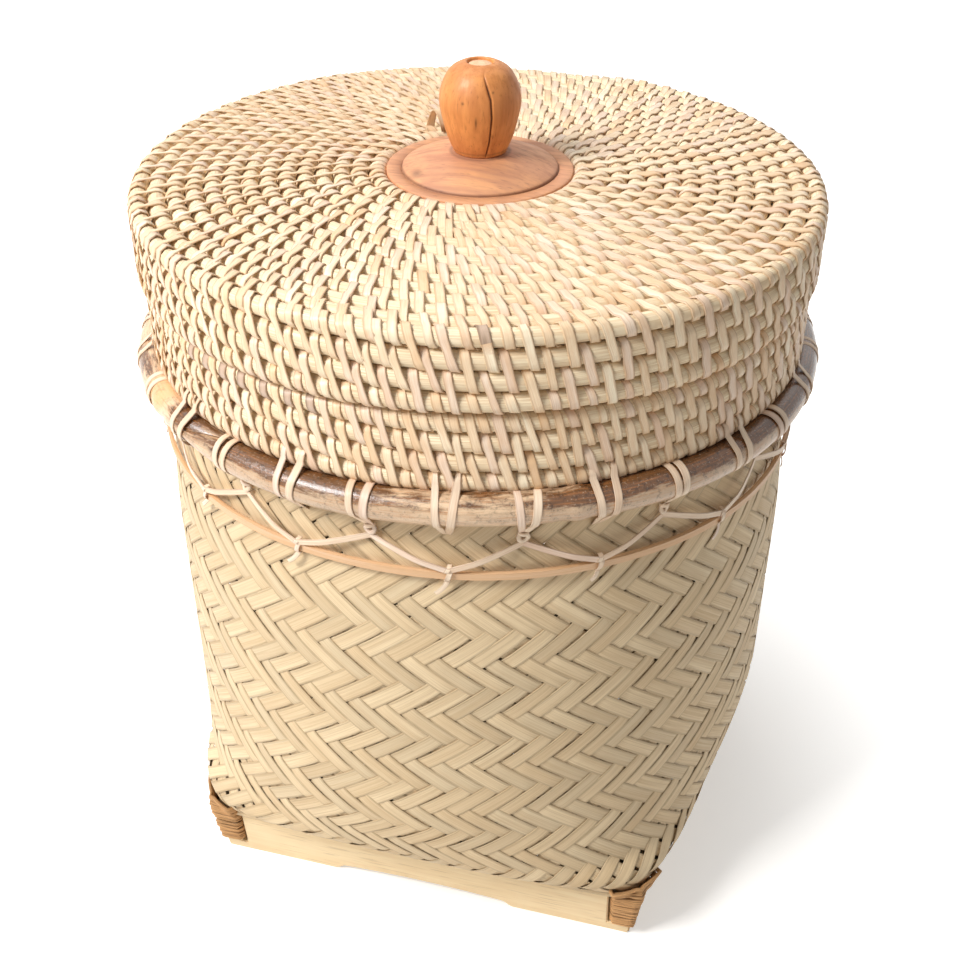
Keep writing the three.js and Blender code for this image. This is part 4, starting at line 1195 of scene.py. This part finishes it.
def pole_guides():
    """The pole bent round the rim, with knuckles, its two ends pared to lie against each other."""
    guides = Guides()
    scarf = math.radians(-121)
    half_lap = math.radians(6)
    angles = np.linspace(scarf - half_lap, scarf + half_lap + 2 * math.pi, 420)
    from_start = np.clip((angles - angles[0]) / (2 * half_lap), 0, 1)
    from_end = np.clip((angles[-1] - angles) / (2 * half_lap), 0, 1)
    girth = np.minimum(0.22 + 0.78 * from_start, 0.22 + 0.78 * from_end)
    shift = POLE_RADIUS * 0.75
    radii = POLE_RING + shift * (1 - from_start) - shift * (1 - from_end)
    levels = np.full(len(angles), POLE_LEVEL) + 0.5 * MM * np.sin(5 * angles + 1.2)
    for knuckle in (-136, -60, 55, 140):
        off = np.abs(nearest_turn(angles - math.radians(knuckle))) * POLE_RING
        swelling = 0.09 * np.exp(-(off / (3 * MM)) ** 2)
        waist = 0.05 * np.exp(-((off - 7 * MM) / (3 * MM)) ** 2)
        girth = girth * (1 + swelling - waist)
    around = nearest_degrees(np.degrees(angles))
    worn = 0.2 + 0.8 * np.exp(-((around + 136) / 7) ** 2) + 0.55 * np.exp(-((around + 158) / 12) ** 2)
    worn += 0.38 * np.exp(-((around + 76) / 17) ** 4) + 0.35 * np.exp(-((around + 120) / 3) ** 2)
    worn += 0.3 * np.exp(-((around - 70) / 30) ** 2)
    guides.add(polar(radii, angles, levels), polar(1, angles, 0), tone=np.clip(worn, 0, 1), girth=girth)
    return guides


def ring_guides(radius, level, wobble=0.0, steps=240):
    """A closed ring, which can wave up and down a little."""
    guides = Guides()
    angles = np.arange(steps) * 2 * math.pi / steps
    levels = level + wobble * np.sin(3 * angles) + wobble * 0.6 * np.sin(7 * angles + 1)
    guides.add(polar(radius, angles, levels), polar(1, angles, 0), tone=0.4, closed=True)
    return guides


# Base


def board_piece(side, material):
    """A base board from the frame's own, with its edges rounded."""
    name = f"base_board_{side}"
    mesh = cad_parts[name].data.copy()
    work = bmesh.new()
    work.from_mesh(mesh)
    bmesh.ops.remove_doubles(work, verts=work.verts, dist=0.01 * MM)
    bmesh.ops.dissolve_limit(work, angle_limit=math.radians(1.5), verts=work.verts, edges=work.edges)
    sharp = [edge for edge in work.edges if edge.is_manifold and edge.calc_face_angle() > math.radians(35)]
    bmesh.ops.bevel(
        work, geom=sharp, offset=sizes().board_round, segments=2, affect="EDGES", clamp_overlap=True)
    bmesh.ops.triangulate(work, faces=work.faces)
    work.to_mesh(mesh)
    work.free()
    mesh.materials.clear()
    mesh.materials.append(material)
    return link(f"board_{side}", mesh)


def face_depth(from_corner, level):
    """How far in the faces lie from the boards' top edge, at a distance from their corner."""
    if level < WEAVE_FLOOR:
        return BOARD_LEAN * (1 - level / BOARD_TOP)
    across = BOARD_HALF - from_corner
    half = float(weave_half(level))
    power = 2 / float(weave_roundness(level))
    return min(0.0, BOARD_HALF - half * (1 - (across / half) ** power) ** (1 / power))


def binding_guides():
    """Many fine turns of cane round the four corners, out over both faces and in through their slots."""
    size = sizes()
    random = np.random.default_rng(23)
    inset = 13 * MM
    proud = 0.9 * MM
    low, high = 8.5 * MM, 41.5 * MM
    middle = low + (high - low) * 0.6
    pitch = size.cane_width * 0.93
    levels = np.concatenate([np.arange(low, middle, pitch), np.arange(middle, high, pitch * 0.5)])
    guides = Guides()
    for corner in range(4):
        turn = Matrix.Rotation(corner * math.pi / 2, 3, "Z")
        for level in levels:
            level = level + random.normal(0, 0.4 * MM)
            torn = corner == 0 and level > middle
            pull = random.uniform(0, 1.5 if torn else 0.8) * MM
            inner = max(0.0, face_depth(0, level))
            flat = [(inset, 4 * MM), (inset, face_depth(inset, level) + 0.8 * MM)]
            for place in (inset - 1.6 * MM, inset * 0.62, inset * 0.34, inner + 1.3 * MM):
                flat.append((place, face_depth(place, level) - proud - pull))
            bend = inner - proud * 0.7 - pull * 0.7
            path = flat + [(bend, bend)] + [(y, x) for x, y in reversed(flat)]
            points, ways = [], []
            lean = random.normal(0, 1.2 if torn else 0.8) * MM
            for step, (from_right, from_front) in enumerate(path):
                rise = lean * (step / (len(path) - 1) - 0.5) * 2
                points.append(turn @ Vector((BOARD_HALF - from_right, from_front - BOARD_HALF, level + rise)))
            for step in range(len(points)):
                before = points[max(step - 1, 0)]
                after = points[min(step + 1, len(points) - 1)]
                along = (after - before).normalized()
                ways.append(along.cross(Vector((0, 0, 1))).normalized())
            guides.add([tuple(point) for point in points], [tuple(way) for way in ways],
                       tone=float(random.beta(2, 2)) * (0.4 if torn else 1), girth=random.uniform(0.75, 1.25))
    return guides


def hem_guides():
    """Narrow turned-under band that follows the boards' top edge."""
    guides = Guides()
    angles = round_angles(360)
    level = WEAVE_FLOOR + 1.5 * MM
    radii = outline_radius(float(weave_half(level)) + 0.1 * MM, 0.12, angles)
    points = polar(radii, angles, level)
    steps = np.roll(points, -1, axis=0) - np.roll(points, 1, axis=0)
    ways = unit(np.stack([steps[:, 1], -steps[:, 0], np.zeros(len(angles))], axis=1))
    guides.add(points, ways, tone=0.45, closed=True)
    return guides


# Turned pieces


def turned_piece(name, profile, angles, material, mark=None):
    """A closed turned piece; mark gives how far in and how dark it is at a place of its skin."""
    profile = np.asarray(profile, float)
    points, darkness = [], []
    for radius, level in profile:
        for angle in angles:
            depth, dark = mark(radius, level, angle) if mark else (0.0, 0.0)
            reach = max(radius - depth, 0.0)
            points.append((reach * math.cos(angle), reach * math.sin(angle), level))
            darkness.append(dark)
    rows, columns = len(profile), len(angles)
    faces = []
    for i in range(rows - 1):
        for j in range(columns):
            k = (j + 1) % columns
            faces.append((i * columns + j, i * columns + k, (i + 1) * columns + k, (i + 1) * columns + j))
    faces.append(tuple(reversed(range(columns))))
    faces.append(tuple((rows - 1) * columns + j for j in range(columns)))
    piece = mesh_piece(name, points, faces, material, {"mark": darkness})
    work = bmesh.new()
    work.from_mesh(piece.data)
    bmesh.ops.remove_doubles(work, verts=work.verts, dist=0.002 * MM)
    bmesh.ops.recalc_face_normals(work, faces=work.faces)
    work.to_mesh(piece.data)
    work.free()
    return piece


def smooth_profile(corners, steps):
    """Spline through corners, sampled evenly."""
    corners = np.asarray(corners, float)
    padded = np.vstack([2 * corners[0] - corners[1], corners, 2 * corners[-1] - corners[-2]])
    result = []
    for i in range(1, len(padded) - 2):
        a, b, c, d = padded[i - 1:i + 3]
        for s in np.linspace(0, 1, steps, endpoint=False):
            result.append(0.5 * (2 * b + (c - a) * s + (2 * a - 5 * b + 4 * c - d) * s * s
                                 + (3 * b - a - 3 * c + d) * s ** 3))
    result.append(corners[-1])
    return result


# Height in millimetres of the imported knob, 4 mm more than the one made here; it scales the marks' heights
KNOB_TALL = 42
# Marks on the knob: millimetres across, share of the height, half width, half height
KNOB_MARKS = ((-1.8, 0.46, 0.5, 2.2), (-7.5, 0.66, 0.6, 0.6), (5.4, 0.78, 0.5, 0.5))


def knob_mark(radius, level, angle):
    """The crack down the knob's front and small marks beside it."""
    height = (level - KNOB_FOOT) / (KNOB_TOP - KNOB_FOOT)
    crack = np.interp(height, [0.0, 0.22, 0.5, 0.7, 0.93], [2.2, 4.0, 5.0, 4.6, 1.6]) * MM
    across = nearest_turn(angle - VIEW_AZIMUTH) * max(radius, 1 * MM)
    open_by = float(np.clip(min(height / 0.06, (0.97 - height) / 0.15), 0, 1))
    half = np.interp(height, [0, 0.4, 0.75, 0.97], [0.22, 0.3, 0.42, 0.25]) * MM
    dark = math.exp(-((across - crack) / half) ** 2) * open_by
    wide = math.exp(-((across - crack) / (half * 1.4)) ** 2) * open_by
    for place, up, half_wide, half_tall in KNOB_MARKS:
        far = ((across - place * MM) / (half_wide * MM)) ** 2 + ((height - up) * KNOB_TALL / half_tall) ** 2
        dark = max(dark, 0.75 * math.exp(-far))
    ring = math.exp(-(((height - 0.045) * KNOB_TALL) / 0.35) ** 2)
    return sizes().crack_depth * wide + 0.15 * MM * ring, max(dark, 0.45 * ring)


def disc_mark(radius, level, angle):
    """A torn spot on the edge of the dome, a dark line in the step round the dome, and painted shade in a
    ring round the knob's foot.
    """
    off = nearest_turn(angle - VIEW_AZIMUTH + math.radians(62))
    far = (off * radius / (3.2 * MM)) ** 2 + ((radius - 31 * MM) / (2.2 * MM)) ** 2
    torn = math.exp(-far)
    # Painted shade: a dark ring on the disc just outside the knob's foot.
    shade_under_knob = math.exp(-((radius - 12.2 * MM) / (0.7 * MM)) ** 2)
    line = math.exp(-((radius - 34.1 * MM) / (0.3 * MM)) ** 2) * (level > DISC_LOW.z + 1 * MM)
    return 0.5 * MM * torn, max(0.7 * torn, 0.8 * shade_under_knob, 0.75 * line)


# Operators


class BASKET_OT_stage(bpy.types.Operator):
    """Lay the floor, light it softly from the upper left and set the camera"""

    bl_idname = "basket.stage"
    bl_label = "Stage"

    def execute(self, context):
        scene = context.scene
        scene.view_settings.view_transform = "Standard"
        self.set_camera(scene)
        self.lay_floor()
        self.set_world(scene)
        lamps = (
            ("key_lamp", (-0.92, -1.0, 1.5), 0.6, 37.0),
            ("top_lamp", (-0.6, 0.5, 1.8), 1.2, 10.0),
            ("back_lamp", (0.3, 1.4, 1.1), 1.2, 2.0),
        )
        for name, place, side, power in lamps:
            self.hang_lamp(name, Vector(place), side, power)
        return {"FINISHED"}

    def set_camera(self, scene):
        data = bpy.data.cameras.new("photo_camera")
        data.sensor_width = SENSOR_WIDTH
        data.sensor_fit = "HORIZONTAL"
        data.lens = PHOTO_FOCAL / PHOTO_SIDE * SENSOR_WIDTH
        data.shift_x = (PHOTO_SIDE / 2 - PHOTO_CENTRE[0]) / PHOTO_SIDE
        camera = bpy.data.objects.new("photo_camera", data)
        scene.collection.objects.link(camera)
        right = CAMERA_FORWARD.cross(CAMERA_UP).normalized()
        up = right.cross(CAMERA_FORWARD).normalized()
        turn = Matrix((right, up, -CAMERA_FORWARD.normalized())).transposed()
        camera.matrix_world = Matrix.Translation(CAMERA_PLACE) @ turn.to_4x4()
        scene.camera = camera

    def lay_floor(self):
        half = 3.0
        corners = [(-half, -half, 0), (half, -half, 0), (half, half, 0), (-half, half, 0)]
        material, tree, shader = new_material("floor_paper")
        place = put(tree, "ShaderNodeTexCoord").outputs["Object"]
        mottle = spread(tree, noise(tree, place, 3.0, 3.0), 0.3, 0.7)
        tint = colours().floor
        base = blend(tree, mottle, tint, darker(tint, 0.985))
        tree.links.new(base, shader.inputs["Base Color"])
        shader.inputs["Roughness"].default_value = 0.9
        # Painted light: for seen rays the floor glows, weakly near the basket and strongly further off, so it
        # turns white and keeps its shadow only near the base.
        away = put(tree, "ShaderNodeVectorMath", {0: place}, operation="LENGTH").outputs["Value"]
        painted_floor_glow = times(tree, seen_ray(tree), spread(tree, away, 0.13, 0.32, 0.4, 0.85))
        shader.inputs["Emission Color"].default_value = (1, 1, 1, 1)
        tree.links.new(painted_floor_glow, shader.inputs["Emission Strength"])
        floor = mesh_piece("floor", corners, [(0, 1, 2, 3)], material, smooth=False)

    def set_world(self, scene):
        world = bpy.data.worlds.new("studio")
        world.use_nodes = True
        tree = world.node_tree
        background = tree.nodes["Background"]
        background.inputs["Color"].default_value = (1, 1, 1, 1)
        strength = reckon(tree, "MULTIPLY_ADD", seen_ray(tree), 0.73, 0.27)
        tree.links.new(strength, background.inputs["Strength"])
        scene.world = world

    def hang_lamp(self, name, place, side, power):
        data = bpy.data.lights.new(name, "AREA")
        data.energy = power
        data.size = side
        lamp = bpy.data.objects.new(name, data)
        bpy.context.scene.collection.objects.link(lamp)
        aim = Vector((0, 0, 0.2)) - place
        lamp.matrix_world = Matrix.Translation(place) @ aim.to_track_quat("-Z", "Y").to_matrix().to_4x4()


class BASKET_OT_lid_coil(bpy.types.Operator):
    """Wind the lid's core and stitch its rows"""

    bl_idname = "basket.lid_coil"
    bl_label = "Lid coil"

    def execute(self, context):
        size = sizes()
        top = wound_core("lid_core_top", core_guides(lid_row, 0, EDGE_TURN + 1.02, upwards))
        settle(top, "lid", "coiled_rattan", "lid_top_coil")
        side_guides = core_guides(lid_row, EDGE_TURN + 1, LID_TURNS - COIL_END, sideways)
        side = wound_core("lid_core_side", side_guides, size.core_tall)
        settle(side, "lid", "coiled_rattan", "lid_wall_coil")

        def inside(first):
            return first[0] - 1, first[1]

        def under(last):
            return last[0] - 0.35, last[1] - 1

        def tone_at(generation, azimuth, random):
            tone = float(np.clip(random.beta(1.5, 2.2), 0, 0.97))
            off = nearest_degrees(math.degrees(azimuth) + 75)
            return (0.995, tone) if generation == EDGE_TURN and abs(off) < 1.9 else tone

        both = stitch_guides(lid_row, LID_TURNS, size.stitch_spacing, 3, inside, under, tone_at)
        for name, guides in zip(("lid_stitches", "lid_stitches_inside"), both):
            stitches = flat_strips(name, guides, size.stitch_width, size.stitch_thickness, peel_finish())
            settle(stitches, "lid", "peel_strip")
        return {"FINISHED"}


class BASKET_OT_knob(bpy.types.Operator):
    """Turn the knob, the disc under it and the peg"""

    bl_idname = "basket.knob"
    bl_label = "Knob and disc"

    def execute(self, context):
        self.turn_knob()
        self.turn_disc()
        self.turn_peg()
        return {"FINISHED"}

    def turn_knob(self):
        low, high = KNOB_FOOT, KNOB_TOP
        tall = high - low
        wide = KNOB_HIGH.x
        bore = 5.5 * MM
        side = smooth_profile([
            (11.7 * MM, low + 0.5 * MM), (11.7 * MM + 0.16 * wide, low + tall * 0.2),
            (wide * 0.97, low + tall * 0.45), (wide, low + tall * 0.6), (wide * 0.93, low + tall * 0.76),
            (wide * 0.74, low + tall * 0.91), (wide * 0.5, low + tall * 0.98), (bore + 0.6 * MM, high)], 14)
        profile = [(0, low), (11.3 * MM, low)] + side
        hollow = high - 3.2 * MM
        profile += [(bore + 0.1 * MM, high - 0.2 * MM), (bore, high - 0.6 * MM), (bore, hollow), (0, hollow)]
        near = VIEW_AZIMUTH + np.radians(np.linspace(-35, 35, 211))
        far = np.linspace(near[-1], near[0] + 2 * math.pi, 92)[1:-1]
        knob = turned_piece("knob", profile, np.concatenate([near, far]), knob_finish(), knob_mark)
        settle(knob, "lid", "knob_wood", "lid_knob")

    def turn_disc(self):
        low, high = DISC_LOW.z, DISC_HIGH.z + 3 * MM
        rim = 40.8 * MM
        top = DISC_HIGH.z - 5.5 * MM
        dome = 33.9 * MM
        lip = DISC_HIGH.x
        step = top + 0.9 * MM
        arch = [(dome * s, step + (high - step) * (1 - s * s)) for s in np.linspace(0.985, 0.03, 26)]
        profile = [(0, low), (lip, low), (lip, low + 2.6 * MM), (rim - 0.4 * MM, low + 2.6 * MM),
                   (rim, low + 3.2 * MM), (rim, top - 0.6 * MM), (rim - 0.2 * MM, top - 0.15 * MM),
                   (rim - 0.7 * MM, top), (dome + 0.8 * MM, top), (dome + 0.5 * MM, top - 0.6 * MM),
                   (dome, top - 0.6 * MM), (dome + 0.1 * MM, top + 0.1 * MM), (dome, step - 0.3 * MM)]
        profile += arch + [(0, high)]
        disc = turned_piece("knob_disc", profile, round_angles(180), disc_finish(), disc_mark)
        settle(disc, "lid", "disc_wood", "knob_plate")

    def turn_peg(self):
        low, high = PEG_LOW.z, PEG_HIGH.z
        shank, head = 5.2 * MM, PEG_HIGH.x
        profile = [(0, low), (head - 0.8 * MM, low), (head, low + 0.8 * MM), (head, low + 3 * MM),
                   (shank, low + 3 * MM), (shank, high - 0.5 * MM), (shank - 0.4 * MM, high),
                   (2 * MM, high + 0.1 * MM), (0, high + 0.1 * MM)]
        peg = turned_piece("peg", profile, round_angles(48), peg_finish())
        settle(peg, "lid", "peg_wood", "knob_dowel")


class BASKET_OT_collar(bpy.types.Operator):
    """Wind and stitch the collar, and finish the hoop inside it"""

    bl_idname = "basket.collar"
    bl_label = "Collar"

    def execute(self, context):
        size = sizes()
        guides = core_guides(collar_row, 0, COLLAR_ROWS - COIL_END, sideways)
        start_guides(guides, collar_row, sideways)
        core = wound_core("collar_core", guides, size.core_tall)
        settle(core, "basket", "coiled_rattan", "collar_coil")

        def above(first):
            return first[0] - 0.2, first[1] + 1

        def under(last):
            return last[0] - 0.2, last[1] - 1

        def tone_at(generation, azimuth, random):
            degrees = nearest_degrees(math.degrees(azimuth))
            if generation == -1 and -126 < degrees < -95:
                return 0.995
            return float(np.clip(random.beta(1.8, 2.2), 0, 0.97))

        guides, _ = stitch_guides(collar_row, COLLAR_ROWS, size.collar_spacing, 8, above, under, tone_at)
        stitches = flat_strips(
            "collar_stitches", guides, size.stitch_width, size.stitch_thickness, peel_finish())
        settle(stitches, "basket", "peel_strip")
        for node in ("seat_hoop", "inner_rim_hoop"):
            self.make_hoop(node)
        return {"FINISHED"}

    def make_hoop(self, node):
        """A plain cane hoop; the seat hoop leaves room above it for the stitches inside the lid."""
        low, high = (Vector(corner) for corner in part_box(node))
        thick = 4 * MM
        if node == "seat_hoop":
            thick = 3 * MM
            high.z -= sizes().stitch_thickness
        guides = ring_guides(high.x - thick / 2, (low.z + high.z) / 2, steps=144)
        hoop = swept(f"{node}_cane", guides, high.z - low.z, thick, cane_finish())
        settle(hoop, "basket", "split_cane", node)


class BASKET_OT_rim(bpy.types.Operator):
    """Bend the pole round the rim, lash it, and lace the lower hoop"""

    bl_idname = "basket.rim"
    bl_label = "Rim"

    def execute(self, context):
        size = sizes()
        pole = swept("pole", pole_guides(), POLE_RADIUS * 2, POLE_RADIUS * 2, pole_finish(), sides=24)
        settle(pole, "basket", "pole_bark", "rim_pole")
        knotted_nodes = [f"knotted_lashing_{pair + 1:02d}" for pair in range(PAIRS)]
        plain_nodes = [f"plain_lashing_{pair + 1:02d}" for pair in range(PAIRS)]
        width, thickness = size.strap_width, size.strap_thickness
        knotted = flat_strips("knotted_straps", strap_guides(True), width, thickness, strap_finish())
        settle(knotted, "basket", "peel_strip", *knotted_nodes)
        plain = flat_strips("plain_straps", strap_guides(False), width, thickness, strap_finish())
        settle(plain, "basket", "peel_strip", *plain_nodes)
        knots = swept("knots", knot_guides(), 2.2 * MM, 1.5 * MM, strap_finish())
        settle(knots, "basket", "peel_strip")
        lace = flat_strips("lace", lace_guides(), size.lace_width, 0.6 * MM, strap_finish())
        settle(lace, "basket", "peel_strip", "zigzag_lace")
        ring = ring_guides(HOOP_HIGH.x - 1.1 * MM, HOOP_LEVEL, wobble=0.4 * MM)
        tall = (HOOP_HIGH.z - HOOP_LOW.z) * 0.72
        hoop = flat_strips("lower_hoop_cane", ring, tall, 2.2 * MM, cane_finish())
        settle(hoop, "basket", "split_cane", "lower_hoop")
        return {"FINISHED"}


class BASKET_OT_weave(bpy.types.Operator):
    """Weave the wall and the floor in a three over three twill"""

    bl_idname = "basket.weave"
    bl_label = "Woven body"

    def execute(self, context):
        size = sizes()
        width, thickness = size.ribbon_width, size.ribbon_thickness
        for rising in (True, False):
            way = "rising" if rising else "falling"
            wall = flat_strips(f"weave_{way}", wall_guides(rising), width, thickness, weave_finish())
            settle(wall, "basket", "woven_bamboo", "woven_body")
            floor = flat_strips(f"floor_{way}", floor_guides(rising), width, thickness, weave_finish())
            settle(floor, "basket", "woven_bamboo", "woven_floor")
        hem = swept("weave_hem", hem_guides(), 3.0 * MM, 1.2 * MM, weave_finish())
        settle(hem, "basket", "woven_bamboo", "woven_body")
        return {"FINISHED"}


class BASKET_OT_base(bpy.types.Operator):
    """Finish the four boards and bind their corners"""

    bl_idname = "basket.base"
    bl_label = "Base"

    def execute(self, context):
        sides = ("front", "right", "back", "left")
        for side in sides:
            board = board_piece(side, board_finish())
            settle(board, "basket", "base_board", f"base_board_{side}")
        nodes = [f"corner_lashing_{side}_{sides[(i + 1) % 4]}" for i, side in enumerate(sides)]
        binding = swept("corner_bindings", binding_guides(), sizes().cane_width, 1.5 * MM, binding_finish())
        settle(binding, "basket", "brown_cane", *nodes)
        return {"FINISHED"}


class BASKET_PT_panel(bpy.types.Panel):
    """Lists the steps that build the basket, and its sizes"""

    bl_idname = "BASKET_PT_panel"
    bl_label = "Lidded basket"
    bl_space_type = "VIEW_3D"
    bl_region_type = "UI"
    bl_category = "Basket"

    def draw(self, context):
        for step in STEPS:
            self.layout.operator(step.bl_idname)
        for group in (context.scene.basket_sizes, context.scene.basket_colours):
            box = self.layout.box()
            for name in group.__annotations__:
                box.prop(group, name)


STEPS = (
    BASKET_OT_stage, BASKET_OT_lid_coil, BASKET_OT_knob, BASKET_OT_collar, BASKET_OT_rim, BASKET_OT_weave,
    BASKET_OT_base,
)
CLASSES = (BasketSizes, BasketColours, *STEPS, BASKET_PT_panel)


def register():
    for part in CLASSES:
        bpy.utils.register_class(part)
    bpy.types.Scene.basket_sizes = PointerProperty(type=BasketSizes)
    bpy.types.Scene.basket_colours = PointerProperty(type=BasketColours)


def unregister():
    del bpy.types.Scene.basket_colours
    del bpy.types.Scene.basket_sizes
    for part in reversed(CLASSES):
        bpy.utils.unregister_class(part)


def main():
    register()
    bpy.ops.basket.stage()
    bpy.ops.basket.lid_coil()
    bpy.ops.basket.knob()
    bpy.ops.basket.collar()
    bpy.ops.basket.rim()
    bpy.ops.basket.weave()
    bpy.ops.basket.base()


if __name__ == "__main__":
    main()
